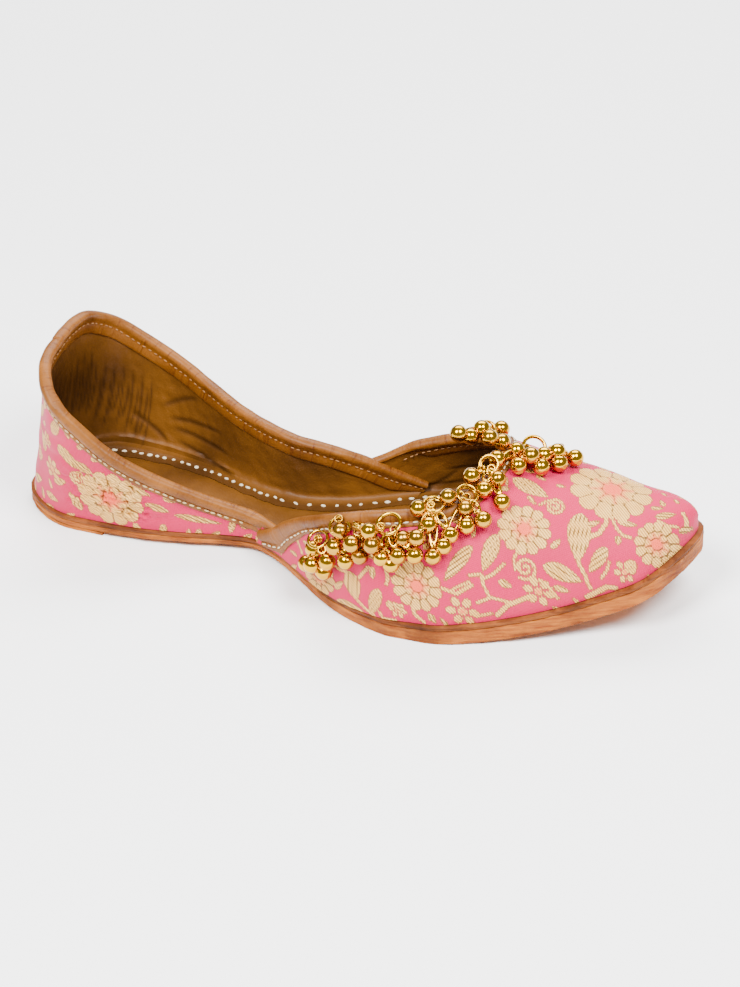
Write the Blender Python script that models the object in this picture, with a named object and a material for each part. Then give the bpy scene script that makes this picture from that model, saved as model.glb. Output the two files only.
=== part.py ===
"""Mojari shoe: a pointed, flat, right slip-on of brocade over leather, with bells at the throat.

Units are metres, +Z is up, +X runs from heel to toe. The near side (-Y) is the outer side of
the foot and the far side (+Y) the inner side. The origin lies on the floor under the middle
of the shoe's box.
"""
import math

import bmesh
import bpy
import numpy as np
from mathutils import Matrix, Vector

# Driving sizes
LENGTH = 0.250          # heel to toe along the sole
BALL_WIDTH = 0.086      # widest width of the sole
TOE_SPRING = 0.019      # height of the toe's underside over the floor
INSTEP_HEIGHT = 0.066   # crown of the last over the feather line where the vamp's wings start
BACK_HEIGHT = 0.0595    # quarter over the feather line at the centre back
BACK_LEAN = 0.0125      # how far the centre back leans forward at its top
SOLE_EDGE = 0.0064      # outsole and midsole together at the ball
HEEL_LIFT = 0.0011      # leather lift under the heel
HEEL_LIFT_LENGTH = 0.036
MIDSOLE = 0.0013        # leather layer between outsole and upper
SOLE_LEDGE = 0.0018     # how far the sole stands out past the upper
WALL = 0.0020           # brocade, leather and lining together
FLANGE = 0.0085         # margin of the upper turned in under the foot
INSOLE = 0.0016
INSOLE_GAP = 0.0005     # between the insole's edge and the turned-in margin
WING_STEP = 0.0014      # how far the vamp's wings stand out over the quarter
CLEARANCE = 0.0003      # between pieces that touch
BINDING = 0.0010        # leather of the edge bindings
BINDING_OUTSIDE = 0.0050
BINDING_GAP = 0.00055   # folded leather stands this far off the wall
BINDING_INSIDE = 0.0068
BELL_DIAMETER = 0.0060
RING_DIAMETER = 0.0072
RING_WIRE = 0.0011
BELL_STEP = 0.0128      # between bunches of bells

# Stations along the sole, as shares of its length
THROAT_START = 0.375    # where the wings leave the sole
THROAT_END = 0.715      # point of the throat
NEAR_TAIL_END = 0.47    # ends of the quarter inside the wings
FAR_TAIL_END = 0.575
STATION_STEP = 0.026    # between the quarter's sections
HEEL_ROUND = 0.105      # length of the rounded heel and toe ends
TOE_ROUND = 0.070
THROAT_ROUND = 0.050
NOSE_ROUND = 0.045      # length over which the crown rounds down to the nose
NOSE_SHARE = 0.5        # height of the nose as a share of the crown behind it
SECTION_POWER = 2.15    # 2 is an ellipse, more is fuller
QUARTER_BOUND_NEAR = 0.355   # where the quarter's edging meets the wings
QUARTER_BOUND_FAR = 0.465
NEAR_CROSSING = 0.43         # past it the wing stands clear of the quarter
FAR_CROSSING = 0.53
NEAR_BELLS = 0.485           # first bells along the throat
FAR_BELLS = 0.56
LIFT_FADE_START = 0.26       # the sole comes down from the lift between here and the ball
BALL_START = 0.55            # the sole lies flat on the floor between these two
BALL_END = 0.66
CORE_START = 0.095           # ends of the middle line that insets run towards
CORE_END = 0.905
WING_FADE_START = 0.50       # the wings' step over the quarter fades out between these two
WING_FADE_END = 0.66
CROSSING_FADE = 0.04         # length over which the throat's edging comes to cap the whole wall
BINDING_SHARE = 0.6          # most of the wall's height that an edging covers
BUNCH_REACH = 1.3            # from a ring's middle to its lowest bell's, in bells

# Sole outline: half widths to each side of the line from heel to toe, as shares of BALL_WIDTH
OUTLINE = {
    "station": (0.00, 0.06, 0.12, 0.18, 0.25, 0.31, 0.36, 0.40, 0.45, 0.50, 0.56,
                0.62, 0.67, 0.72, 0.78, 0.84, 0.90, 0.95, 1.00),
    "near": (0.22, 0.252, 0.265, 0.272, 0.260, 0.232, 0.215, 0.256, 0.360, 0.475, 0.572,
             0.625, 0.627, 0.594, 0.530, 0.460, 0.385, 0.320, 0.210),
    "far": (0.26, 0.308, 0.330, 0.318, 0.265, 0.200, 0.152, 0.137, 0.158, 0.210, 0.290,
            0.350, 0.378, 0.388, 0.378, 0.340, 0.268, 0.205, 0.140),
}
# Underside over the floor as a share of TOE_SPRING, edge thickness as a share of SOLE_EDGE,
# and how far the sole stands out past the upper as a share of SOLE_LEDGE
SOLE = {
    "station": (0.00, 0.15, 0.26, 0.38, 0.47, 0.55, 0.66, 0.72, 0.78, 0.84, 0.90, 0.95, 1.00),
    "under": (0.0, 0.0, 0.030, 0.065, 0.035, 0.0, 0.0, 0.030, 0.105, 0.245, 0.460, 0.695, 1.0),
    "edge": (0.50, 0.52, 0.50, 0.47, 0.62, 0.86, 1.00, 1.04, 1.08, 1.12, 1.15, 1.17, 1.17),
    "ledge": (0.7, 0.55, 0.45, 0.45, 0.45, 0.5, 0.8, 1.0, 1.1, 1.25, 1.55, 1.9, 2.1),
}
# Last: crown height as a share of INSTEP_HEIGHT, crown line's place across the sole (0 near, 1 far)
CROWN = {
    "station": (0.00, 0.20, 0.36, 0.45, 0.55, 0.65, 0.715, 0.77, 0.82, 0.87, 0.91, 0.95, 0.98, 1.00),
    "height": (1.85, 1.55, 1.10, 0.93, 0.79, 0.67, 0.585, 0.510, 0.440, 0.370, 0.305, 0.250, 0.205, 0.17),
    "across": (0.50, 0.50, 0.52, 0.55, 0.57, 0.58, 0.58, 0.57, 0.57, 0.56, 0.54, 0.52, 0.50, 0.50),
}
# Quarter: topline height as a share of BACK_HEIGHT, outward lean at the top as a share of BALL_WIDTH
QUARTER = {
    "station": (0.00, 0.04, 0.08, 0.12, 0.16, 0.21, 0.26, 0.31, 0.36, 0.42, 0.46, 0.50, 0.54, 0.58),
    "near": (1.00, 0.965, 0.880, 0.750, 0.590, 0.440, 0.330, 0.235, 0.165, 0.110, 0.090, 0.075, 0.065, 0.06),
    "far": (1.01, 0.995, 0.900, 0.790, 0.705, 0.615, 0.540, 0.490, 0.465, 0.430, 0.380, 0.290, 0.170, 0.06),
    "near_lean": (0.0, 0.03, 0.09, 0.13, 0.13, 0.11, 0.08, 0.05, 0.03, 0.0, 0.0, 0.0, 0.0, 0.0),
    "far_lean": (0.0, 0.03, 0.09, 0.13, 0.14, 0.13, 0.10, 0.07, 0.04, 0.0, 0.0, 0.0, 0.0, 0.0),
}
# Throat: how much of the arch from the sole to the crown is open, as a share
THROAT = {
    "station": (0.375, 0.40, 0.43, 0.475, 0.52, 0.56, 0.60, 0.65, 0.69, 0.715),
    "near": (0.975, 0.945, 0.87, 0.76, 0.66, 0.58, 0.51, 0.44, 0.38, 0.33),
    "far": (0.975, 0.955, 0.92, 0.87, 0.81, 0.73, 0.66, 0.55, 0.43, 0.35),
}
# Bells of a bunch from the ring's middle, in bell radii: across, towards the toe, off the upper
BELL_PLACES = ((-1.03, -1.25, 1.0), (1.04, -1.20, 1.0), (0.03, -2.60, 1.0), (0.10, -1.45, 2.30))
NEAR, FAR = -1, 1


def along(table, column, station):
    """Smooth value of a table's column at a station, with no overshoot between its rows."""
    xs = np.array(table["station"])
    ys = np.array(table[column])
    steps = np.diff(xs)
    slopes = np.diff(ys) / steps
    tangents = np.zeros_like(ys)
    tangents[0], tangents[-1] = slopes[0], slopes[-1]
    for i in range(1, len(ys) - 1):
        if slopes[i - 1] * slopes[i] > 0:
            tangents[i] = 2 / (1 / slopes[i - 1] + 1 / slopes[i])
    station = min(max(station, xs[0]), xs[-1])
    i = int(min(max(np.searchsorted(xs, station) - 1, 0), len(xs) - 2))
    u = (station - xs[i]) / steps[i]
    start = (1 + 2 * u) * (1 - u) ** 2 * ys[i] + u * (1 - u) ** 2 * steps[i] * tangents[i]
    end = u * u * (3 - 2 * u) * ys[i + 1] + u * u * (u - 1) * steps[i] * tangents[i + 1]
    return float(start + end)


def rounded(distance, reach):
    """Share of the full width at a distance from a rounded end."""
    if distance >= reach:
        return 1.0
    return math.sqrt(max(0.0, 1 - (1 - distance / reach) ** 2))


def half_width(side, station):
    name = "near" if side == NEAR else "far"
    ends = rounded(station, HEEL_ROUND) * rounded(1 - station, TOE_ROUND)
    return BALL_WIDTH * along(OUTLINE, name, station) * ends


# The widest points set the middle of the shoe's box
STATIONS = [i / 100 for i in range(101)]
MIDDLE = (max(half_width(FAR, s) for s in STATIONS) - max(half_width(NEAR, s) for s in STATIONS)) / 2
FLOOR_TO_OUTSOLE = HEEL_LIFT + CLEARANCE
BEND_HEIGHT = 1.3 * WALL    # where the wall's inside stands clear of its turned-in margin


def underside(station):
    """Height of the outsole's underside over the floor: over the lift at the heel, flat at the ball."""
    down = (station - LIFT_FADE_START) / (BALL_START - LIFT_FADE_START)
    over_lift = FLOOR_TO_OUTSOLE * (1 - min(max(down, 0.0), 1.0))
    return over_lift + TOE_SPRING * along(SOLE, "under", station)


def midsole_top(station):
    return underside(station) + SOLE_EDGE * along(SOLE, "edge", station) + CLEARANCE


def feather(station):
    """Height at which the upper's margin rests on the midsole."""
    return midsole_top(station) + CLEARANCE


def outline_point(side, station, inset=0.0):
    """Point of the sole's outline, moved in towards the middle line of the foot."""
    x = station * LENGTH
    y = side * half_width(side, station)
    if inset == 0.0:
        return Vector((x - LENGTH / 2, y - MIDDLE, 0.0))
    core = min(max(station, CORE_START), CORE_END)
    middle = 0.5 * (half_width(FAR, core) - half_width(NEAR, core))
    way = Vector((core * LENGTH - x, middle - y, 0.0))
    moved = Vector((x, y, 0.0)) + way.normalized() * inset
    return moved - Vector((LENGTH / 2, MIDDLE, 0.0))


def ledge(station):
    return SOLE_LEDGE * along(SOLE, "ledge", station)


def crown_line(station, proud=0.0):
    """Where the last's crown lies: its place across and its height over the feather line."""
    near, far = -half_width(NEAR, station), half_width(FAR, station)
    across = near + (far - near) * along(CROWN, "across", station)
    nose = NOSE_SHARE + (1 - NOSE_SHARE) * rounded(1 - station, NOSE_ROUND)
    return across - MIDDLE, INSTEP_HEIGHT * along(CROWN, "height", station) * nose + proud


def skin(side, station, angle, proud=0.0):
    """Point of the upper's outer skin. The angle runs from 0 at the sole to a right angle at the crown."""
    foot = outline_point(side, station, ledge(station))
    crown_x = (foot.x + outline_point(-side, station, ledge(station)).x) / 2
    foot.y += side * proud
    crown_y, crown_height = crown_line(station, proud)
    across = max(math.cos(angle), 0.0) ** (2 / SECTION_POWER)
    up = crown_height * math.sin(angle) ** (2 / SECTION_POWER)
    name = "near_lean" if side == NEAR else "far_lean"
    lean = along(QUARTER, name, station) * BALL_WIDTH * min(up / BACK_HEIGHT, 1.0)
    forward = BACK_LEAN * up / BACK_HEIGHT * max(0.0, 1 - station / HEEL_ROUND) ** 2
    width = rounded(station, HEEL_ROUND)
    return Vector((crown_x + (foot.x - crown_x) * across + forward,
                   crown_y + (foot.y - crown_y) * across + side * lean * width,
                   feather(station) + up))


def angle_at(station, up):
    """Angle of the skin at a height over the feather line."""
    share = min(up / crown_line(station)[1], 1.0)
    return math.asin(share ** (SECTION_POWER / 2))


def topline(side, station):
    return BACK_HEIGHT * along(QUARTER, "near" if side == NEAR else "far", station)


def throat_angle(side, station):
    """Angle at which the vamp ends: its throat edge, or the crown past the throat's point."""
    if station >= THROAT_END:
        return math.pi / 2
    opened = along(THROAT, "near" if side == NEAR else "far", station)
    return math.pi / 2 * (1 - opened * rounded(THROAT_END - station, THROAT_ROUND))


def wing_proud(station):
    """The wings stand out over the quarter, and the step fades out towards the ball."""
    fade = min(max((station - WING_FADE_START) / (WING_FADE_END - WING_FADE_START), 0.0), 1.0)
    return WING_STEP * (1 - fade * fade * (3 - 2 * fade))


def skin_frame(side, station, angle, proud=0.0):
    """Point, outward normal and upward tangent of the skin."""
    step_station, step_angle = 0.002, 0.01
    here = skin(side, station, angle, proud)
    low = max(angle - step_angle, 0.0)
    up = (skin(side, station, low + step_angle, proud) - skin(side, station, low, proud)).normalized()
    back = max(station - step_station, 0.0)
    front = (skin(side, back + step_station, angle, proud) - skin(side, back, angle, proud))
    if station < 1e-6:
        front = Vector((0.0, side, 0.0))
    normal = front.cross(up) * -side
    return here, normal.normalized(), up


def spaced(start, end, count):
    return [start + (end - start) * i / count for i in range(count + 1)]


def rounded_stations(start, end, count):
    """Stations that crowd towards the start, where the outline turns."""
    return [start + (end - start) * (1 - math.cos(math.pi / 2 * i / count)) for i in range(count + 1)]


def material(name, colour, roughness, metallic=0.0):
    made = bpy.data.materials.new(name)
    made.use_nodes = True
    shader = made.node_tree.nodes["Principled BSDF"]
    shader.inputs["Base Color"].default_value = (*colour, 1.0)
    shader.inputs["Roughness"].default_value = roughness
    shader.inputs["Metallic"].default_value = metallic
    return made


def new_object(name, mesh, made_of, smooth_angle=math.radians(35)):
    mesh.shade_smooth()
    mesh.set_sharp_from_angle(angle=smooth_angle)
    made = bpy.data.objects.new(name, mesh)
    made.data.materials.append(made_of)
    bpy.context.scene.collection.objects.link(made)
    return made


def grid_mesh(name, columns, close_columns=False, cap_ends=False, merge=1e-6):
    """Mesh of quads through columns of points. Closed columns make a tube, whose ends are capped."""
    bm = bmesh.new()
    rows = [[bm.verts.new(point) for point in column] for column in columns]
    count = len(rows[0])
    last_row = count if close_columns else count - 1
    for left, right in zip(rows, rows[1:]):
        for i in range(last_row):
            j = (i + 1) % count
            bm.faces.new((left[i], right[i], right[j], left[j]))
    if cap_ends:
        bm.faces.new(list(rows[0]))
        bm.faces.new(list(reversed(rows[-1])))
    bmesh.ops.remove_doubles(bm, verts=bm.verts, dist=merge)
    bmesh.ops.dissolve_degenerate(bm, dist=merge, edges=bm.edges)
    mesh = bpy.data.meshes.new(name)
    bm.to_mesh(mesh)
    bm.free()
    return mesh


def thicken(made, thickness, offset):
    """Give a skin its wall: offset -1 grows inwards, 1 outwards."""
    wall = made.modifiers.new("wall", "SOLIDIFY")
    wall.thickness = thickness
    wall.offset = offset
    wall.use_even_offset = True
    wall.use_rim = True
    return made


def plate(name, stations, bottom, top, inset, made_of):
    """Plate that follows the sole's outline, with its own bottom and top heights."""
    columns = []
    for station in stations:
        near = outline_point(NEAR, station, inset(station))
        far = outline_point(FAR, station, inset(station))
        ring = []
        for point, height in ((near, bottom), (far, bottom), (far, top), (near, top)):
            ring.append(Vector((point.x, point.y, height(station))))
        columns.append(ring)
    mesh = grid_mesh(name, columns, close_columns=True, merge=2e-6)
    bm = bmesh.new()
    bm.from_mesh(mesh)
    bmesh.ops.holes_fill(bm, edges=[e for e in bm.edges if e.is_boundary], sides=0)
    bmesh.ops.recalc_face_normals(bm, faces=bm.faces)
    bm.to_mesh(mesh)
    bm.free()
    return new_object(name, mesh, made_of)


def heel_stations(end):
    """From the centre back forwards, at the same steps whatever the end."""
    side = [HEEL_ROUND + STATION_STEP * i for i in range(1, 40)]
    return rounded_stations(0.0, HEEL_ROUND, 7) + [s for s in side if s < end - STATION_STEP / 4] + [end]


def throat_stations():
    """From the throat's point back to the wings."""
    return rounded_stations(THROAT_END, THROAT_START, 16)


def toe_stations():
    """From the tip back to the wings, crowded at the tip and at the throat's point."""
    tip = [1 - s for s in rounded_stations(0.0, TOE_ROUND, 5)]
    closed = spaced(1 - TOE_ROUND, THROAT_END, 6)[1:]
    return tip + closed + throat_stations()[1:]


def sole_stations():
    heel = rounded_stations(0.0, HEEL_ROUND, 7)
    middle = spaced(HEEL_ROUND, BALL_START, 12)[1:] + spaced(BALL_START, BALL_END, 3)[1:]
    middle += spaced(BALL_END, 1 - TOE_ROUND, 8)[1:]
    tip = [1 - s for s in rounded_stations(0.0, TOE_ROUND, 6)]
    return heel + middle + list(reversed(tip))[1:]


def outsole_top(station):
    return midsole_top(station) - MIDSOLE - CLEARANCE


def make_sole():
    """Leather sole: lift under the heel, outsole, midsole, and the insole inside the margin."""
    cut_leather = material("cut_leather", (0.55, 0.30, 0.13), 0.6)
    dark_leather = material("dark_leather", (0.30, 0.13, 0.05), 0.55)
    lift_end = HEEL_LIFT_LENGTH / LENGTH
    plate("heel_lift", heel_stations(lift_end), lambda s: 0.0, lambda s: HEEL_LIFT,
          lambda s: 0.0, cut_leather)
    plate("outsole", sole_stations(), underside, outsole_top, lambda s: 0.0, cut_leather)
    plate("midsole", sole_stations(), lambda s: outsole_top(s) + CLEARANCE, midsole_top,
          lambda s: 0.0, dark_leather)
    lining = material("insole_leather", (0.30, 0.17, 0.06), 0.6)
    plate("insole", sole_stations(), feather, lambda s: feather(s) + INSOLE,
          lambda s: ledge(s) + FLANGE + INSOLE_GAP, lining)


def wall_angles(station, top, rows):
    """Rows of the wall: its foot, then from just over the turned-in margin up to the top."""
    return [0.0] + spaced(angle_at(station, BEND_HEIGHT), top, rows - 1)


def skin_column(side, station, angles, proud=0.0, lift=0.0):
    """Column of the upper's skin: margin under the foot, foot of the wall, then up the wall."""
    margin = outline_point(side, station, ledge(station) + FLANGE)
    margin.z = feather(station)
    column = [margin] + [skin(side, station, angle, proud) for angle in angles]
    return [point + Vector((0.0, 0.0, lift)) for point in column]


def make_upper():
    """Upper: the quarter's tails run inside the vamp's wings, and one wall is made of both."""
    brocade = material("brocade", (0.85, 0.35, 0.42), 0.6)
    wall_rows, vamp_rows = 6, 8
    around_heel = [(FAR, s) for s in reversed(heel_stations(FAR_TAIL_END))]
    around_heel += [(NEAR, s) for s in heel_stations(NEAR_TAIL_END)[1:]]
    columns = []
    for side, station in around_heel:
        top = angle_at(station, topline(side, station))
        angles = wall_angles(station, top, wall_rows)
        columns.append(skin_column(side, station, angles, lift=CLEARANCE / 2))
    quarter = new_object("quarter_wall", grid_mesh("quarter_wall", columns), brocade)
    thicken(quarter, WALL, -1)
    quarter.hide_render = True
    quarter.display_type = "WIRE"

    stations = toe_stations()
    around_toe = [(NEAR, s) for s in reversed(stations)] + [(FAR, s) for s in stations[1:]]
    columns = []
    for side, station in around_toe:
        angles = wall_angles(station, throat_angle(side, station), vamp_rows)
        columns.append(skin_column(side, station, angles, proud=wing_proud(station)))
    upper = new_object("upper", grid_mesh("upper", columns), brocade)
    thicken(upper, WALL, -1)
    join = upper.modifiers.new("join_quarter", "BOOLEAN")
    join.operation = "UNION"
    join.object = quarter


class Edge:
    """A point of an edge of the upper, with the way off the edge along the skin."""

    def __init__(self, side, station, angle, proud, towards_next):
        self.side, self.station, self.angle, self.proud = side, station, angle, proud
        point, self.normal, _ = skin_frame(side, station, angle, proud)
        self.off = towards_next.cross(self.normal).normalized()
        step = 0.003
        ahead = 1 if station < 0.9 else -1
        self.along_station = (skin(side, station + ahead * step, angle, proud) - point) / (ahead * step)
        self.along_angle = (point - skin(side, station, angle - step, proud)) / step

    def at(self, depth, offset):
        """Point at a depth from the edge along the skin, raised off the skin by an offset."""
        a, b = self.along_station, self.along_angle
        way = self.off * depth
        aa, ab, bb = a.dot(a), a.dot(b), b.dot(b)
        wa, wb = way.dot(a), way.dot(b)
        scale = aa * bb - ab * ab
        station = self.station + (wa * bb - wb * ab) / scale
        angle = self.angle + (wb * aa - wa * ab) / scale
        side = self.side
        if angle > math.pi / 2:
            angle, side = math.pi - angle, -side
        point, normal, _ = skin_frame(side, max(station, 0.0), max(angle, 0.0), self.proud)
        return point + normal * offset, normal


def edges(path):
    """Edge points along a path of (side, station, angle, proud)."""
    points = [skin(*place) for place in path]
    made = []
    for i, (side, station, angle, proud) in enumerate(path):
        before, after = points[max(i - 1, 0)], points[min(i + 1, len(points) - 1)]
        made.append(Edge(side, station, angle, proud, (after - before).normalized()))
    return made


def quarter_path():
    """Topline from the far crossing around the heel to the near crossing."""
    path = []
    for side, station in ([(FAR, s) for s in reversed(heel_stations(QUARTER_BOUND_FAR))]
                          + [(NEAR, s) for s in heel_stations(QUARTER_BOUND_NEAR)[1:]]):
        path.append((side, station, angle_at(station, topline(side, station)), 0.0))
    return path


def throat_path():
    """Throat edge from the near wing over the point of the throat to the far wing."""
    stations = throat_stations()[:-1]
    path = [(NEAR, s, throat_angle(NEAR, s), wing_proud(s)) for s in reversed(stations)]
    path += [(FAR, s, throat_angle(FAR, s), wing_proud(s)) for s in stations[1:]]
    return path


def make_bindings():
    """Folded leather edgings over the topline and the throat."""
    tan = material("edging_leather", (0.48, 0.20, 0.07), 0.45)
    columns = []
    for edge in edges(quarter_path()):
        up = -edge.off * BINDING_GAP
        inner = -(WALL + BINDING_GAP)
        outside = min(BINDING_OUTSIDE, BINDING_SHARE * topline(edge.side, edge.station))
        inside = min(BINDING_INSIDE, BINDING_SHARE * topline(edge.side, edge.station))
        columns.append([edge.at(outside, BINDING_GAP)[0], edge.at(outside / 2, BINDING_GAP)[0],
                        edge.at(0.0, BINDING_GAP)[0] + up, edge.at(0.0, inner)[0] + up,
                        edge.at(inside / 2, inner)[0], edge.at(inside, inner)[0]])
    made = new_object("quarter_binding", grid_mesh("quarter_binding", columns), tan)
    thicken(made, BINDING, 1)
    columns = []
    for edge in edges(throat_path()):
        up = -edge.off * BINDING_GAP
        crossing = NEAR_CROSSING if edge.side == NEAR else FAR_CROSSING
        free = min(max((edge.station - crossing) / CROSSING_FADE, 0.0), 1.0)
        cap = -(WING_STEP / 2 + free * (WALL - WING_STEP / 2))
        height = skin(edge.side, edge.station, edge.angle, edge.proud).z - feather(edge.station)
        outside = min(BINDING_OUTSIDE, BINDING_SHARE * height)
        columns.append([edge.at(outside, BINDING_GAP)[0], edge.at(outside / 2, BINDING_GAP)[0],
                        edge.at(0.0, BINDING_GAP)[0] + up, edge.at(0.0, cap)[0] + up])
    made = new_object("vamp_binding", grid_mesh("vamp_binding", columns), tan)
    thicken(made, BINDING, 1)


def joined(name, parts):
    """One closed mesh from overlapping solids."""
    first = parts[0]
    for other in parts[1:]:
        join = first.modifiers.new("join", "BOOLEAN")
        join.operation = "UNION"
        join.object = other
    bpy.context.view_layer.update()
    evaluated = first.evaluated_get(bpy.context.evaluated_depsgraph_get())
    mesh = bpy.data.meshes.new_from_object(evaluated)
    mesh.name = name
    for part in parts:
        bpy.data.objects.remove(part)
    return mesh


def bell_bunch():
    """A ring with four bells, lying flat: the ring's middle is the origin and the bells hang to -Y."""
    radius = BELL_DIAMETER / 2
    ring_radius = (RING_DIAMETER - RING_WIRE) / 2
    bpy.ops.mesh.primitive_torus_add(major_radius=ring_radius, minor_radius=RING_WIRE / 2,
                                     major_segments=10, minor_segments=4,
                                     location=(0.0, 0.0, RING_WIRE / 2))
    parts = [bpy.context.object]
    for across, down, up in BELL_PLACES:
        bpy.ops.mesh.primitive_uv_sphere_add(segments=8, ring_count=6, radius=radius,
                                             location=(across * radius, down * radius, up * radius))
        parts.append(bpy.context.object)
    return joined("bell_bunch", parts)


def make_bells():
    """Bunches of bells sewn below the throat's edging, an equal step apart along it."""
    brass = material("brass", (0.85, 0.58, 0.15), 0.2, 1.0)
    mesh = bell_bunch()
    mesh.shade_smooth()
    mesh.materials.clear()
    mesh.materials.append(brass)
    path = [place for place in throat_path()
            if place[1] >= (NEAR_BELLS if place[0] == NEAR else FAR_BELLS)]
    points = [skin(*place) for place in path]
    lengths = [0.0]
    for before, after in zip(points, points[1:]):
        lengths.append(lengths[-1] + (after - before).length)
    count = int((lengths[-1] - BELL_STEP) / BELL_STEP) + 1
    margin = (lengths[-1] - (count - 1) * BELL_STEP) / 2
    depth = BINDING_OUTSIDE + CLEARANCE + RING_DIAMETER / 2

    def edge_at(length):
        """Edge point of the throat at a length along it."""
        k = min(max(int(np.searchsorted(lengths, length)), 1), len(path) - 1)
        share = (length - lengths[k - 1]) / (lengths[k] - lengths[k - 1])
        before, after = path[k - 1], path[k]
        if before[0] != after[0]:
            after = (before[0], after[1], math.pi / 2, after[3])
        place = (before[0],) + tuple(b + (a - b) * share for b, a in zip(before[1:], after[1:]))
        return Edge(*place, (points[k] - points[k - 1]).normalized())

    for i in range(count):
        length = margin + i * BELL_STEP
        edge = edge_at(length)
        centre, normal = edge.at(depth, CLEARANCE)
        low, _ = edge.at(depth + BELL_DIAMETER, CLEARANCE)
        hang = (low - centre).normalized()
        across = normal.cross(hang).normalized()
        under = [edge_at(min(max(length + BELL_STEP / 2 * way, 0.0), lengths[-1])).at(reach, CLEARANCE)[0]
                 for way in (-1, 0, 1) for reach in (depth, depth + BELL_DIAMETER * BUNCH_REACH)]
        lift = max(0.0, max((point - centre).dot(normal) for point in under)) + CLEARANCE
        bunch = bpy.data.objects.new(f"bells_{i + 1:02d}", mesh)
        bpy.context.scene.collection.objects.link(bunch)
        frame = Matrix((across, -hang, normal)).transposed()
        bunch.location = centre + normal * lift
        bunch.rotation_mode = "QUATERNION"
        bunch.rotation_quaternion = frame.to_quaternion()


def main():
    for old in list(bpy.data.objects):
        bpy.data.objects.remove(old)
    make_sole()
    make_upper()
    make_bindings()
    make_bells()


main()
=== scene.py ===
import math

import bmesh
import bpy
import numpy as np
from mathutils import Matrix, Vector


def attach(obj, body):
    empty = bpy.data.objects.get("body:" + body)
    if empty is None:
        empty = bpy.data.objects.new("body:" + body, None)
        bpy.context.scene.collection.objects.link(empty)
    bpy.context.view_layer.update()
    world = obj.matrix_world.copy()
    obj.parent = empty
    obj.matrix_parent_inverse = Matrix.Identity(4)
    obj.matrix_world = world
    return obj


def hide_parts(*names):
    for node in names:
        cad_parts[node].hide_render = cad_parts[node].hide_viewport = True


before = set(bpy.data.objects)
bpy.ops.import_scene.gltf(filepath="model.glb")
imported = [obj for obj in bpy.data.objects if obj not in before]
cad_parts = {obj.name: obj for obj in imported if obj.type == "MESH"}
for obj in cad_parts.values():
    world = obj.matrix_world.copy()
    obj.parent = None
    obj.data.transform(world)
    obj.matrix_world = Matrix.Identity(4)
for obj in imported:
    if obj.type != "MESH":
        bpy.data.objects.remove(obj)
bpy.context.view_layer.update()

MM = 0.001
NEAR, FAR = -1, 1

# Sizes of the shoe, in metres, as the solids have them. Only the sole's ledge is narrower at the toe here.
LENGTH = 0.250
BALL_WIDTH = 0.086
TOE_SPRING = 0.019
INSTEP_HEIGHT = 0.066
BACK_HEIGHT = 0.0595
BACK_LEAN = 0.0125
SOLE_EDGE = 0.0064
HEEL_LIFT = 0.0011
HEEL_LIFT_LENGTH = 0.036
MIDSOLE = 0.0013
SOLE_LEDGE = 0.0018
WALL = 0.0020
FLANGE = 0.0085
INSOLE = 0.0016
WING_STEP = 0.0014
CLEARANCE = 0.0003
BELL_RADIUS = 0.0030

# Stations along the sole, as shares of its length
THROAT_START, THROAT_END = 0.375, 0.715
NEAR_TAIL_END, FAR_TAIL_END = 0.47, 0.575
HEEL_ROUND, TOE_ROUND, THROAT_ROUND, NOSE_ROUND = 0.105, 0.070, 0.050, 0.045
NOSE_SHARE = 0.5
SECTION_POWER = 2.15
LIFT_FADE_START, BALL_START, BALL_END = 0.26, 0.55, 0.66
CORE_START, CORE_END = 0.095, 0.905
WING_FADE_START, WING_FADE_END = 0.50, 0.66

OUTLINE = {
    "station": (0.00, 0.06, 0.12, 0.18, 0.25, 0.31, 0.36, 0.40, 0.45, 0.50, 0.56,
                0.62, 0.67, 0.72, 0.78, 0.84, 0.90, 0.95, 1.00),
    "near": (0.22, 0.252, 0.265, 0.272, 0.260, 0.232, 0.215, 0.256, 0.360, 0.475, 0.572,
             0.625, 0.627, 0.594, 0.530, 0.460, 0.385, 0.320, 0.210),
    "far": (0.26, 0.308, 0.330, 0.318, 0.265, 0.200, 0.152, 0.137, 0.158, 0.210, 0.290,
            0.350, 0.378, 0.388, 0.378, 0.340, 0.268, 0.205, 0.140),
}
SOLE = {
    "station": (0.00, 0.15, 0.26, 0.38, 0.47, 0.55, 0.66, 0.72, 0.78, 0.84, 0.90, 0.95, 1.00),
    "under": (0.0, 0.0, 0.030, 0.065, 0.035, 0.0, 0.0, 0.030, 0.105, 0.245, 0.460, 0.695, 1.0),
    "edge": (0.50, 0.52, 0.50, 0.47, 0.62, 0.86, 1.00, 1.04, 1.08, 1.12, 1.15, 1.17, 1.17),
    "ledge": (0.7, 0.55, 0.45, 0.45, 0.45, 0.5, 0.8, 1.0, 1.1, 1.2, 1.3, 1.25, 1.1),
}
CROWN = {
    "station": (0.00, 0.20, 0.36, 0.45, 0.55, 0.65, 0.715, 0.77, 0.82, 0.87, 0.91, 0.95, 0.98, 1.00),
    "height": (1.85, 1.55, 1.10, 0.93, 0.79, 0.67, 0.585, 0.510, 0.440, 0.370, 0.305, 0.250, 0.205, 0.17),
    "across": (0.50, 0.50, 0.52, 0.55, 0.57, 0.58, 0.58, 0.57, 0.57, 0.56, 0.54, 0.52, 0.50, 0.50),
}
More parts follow.
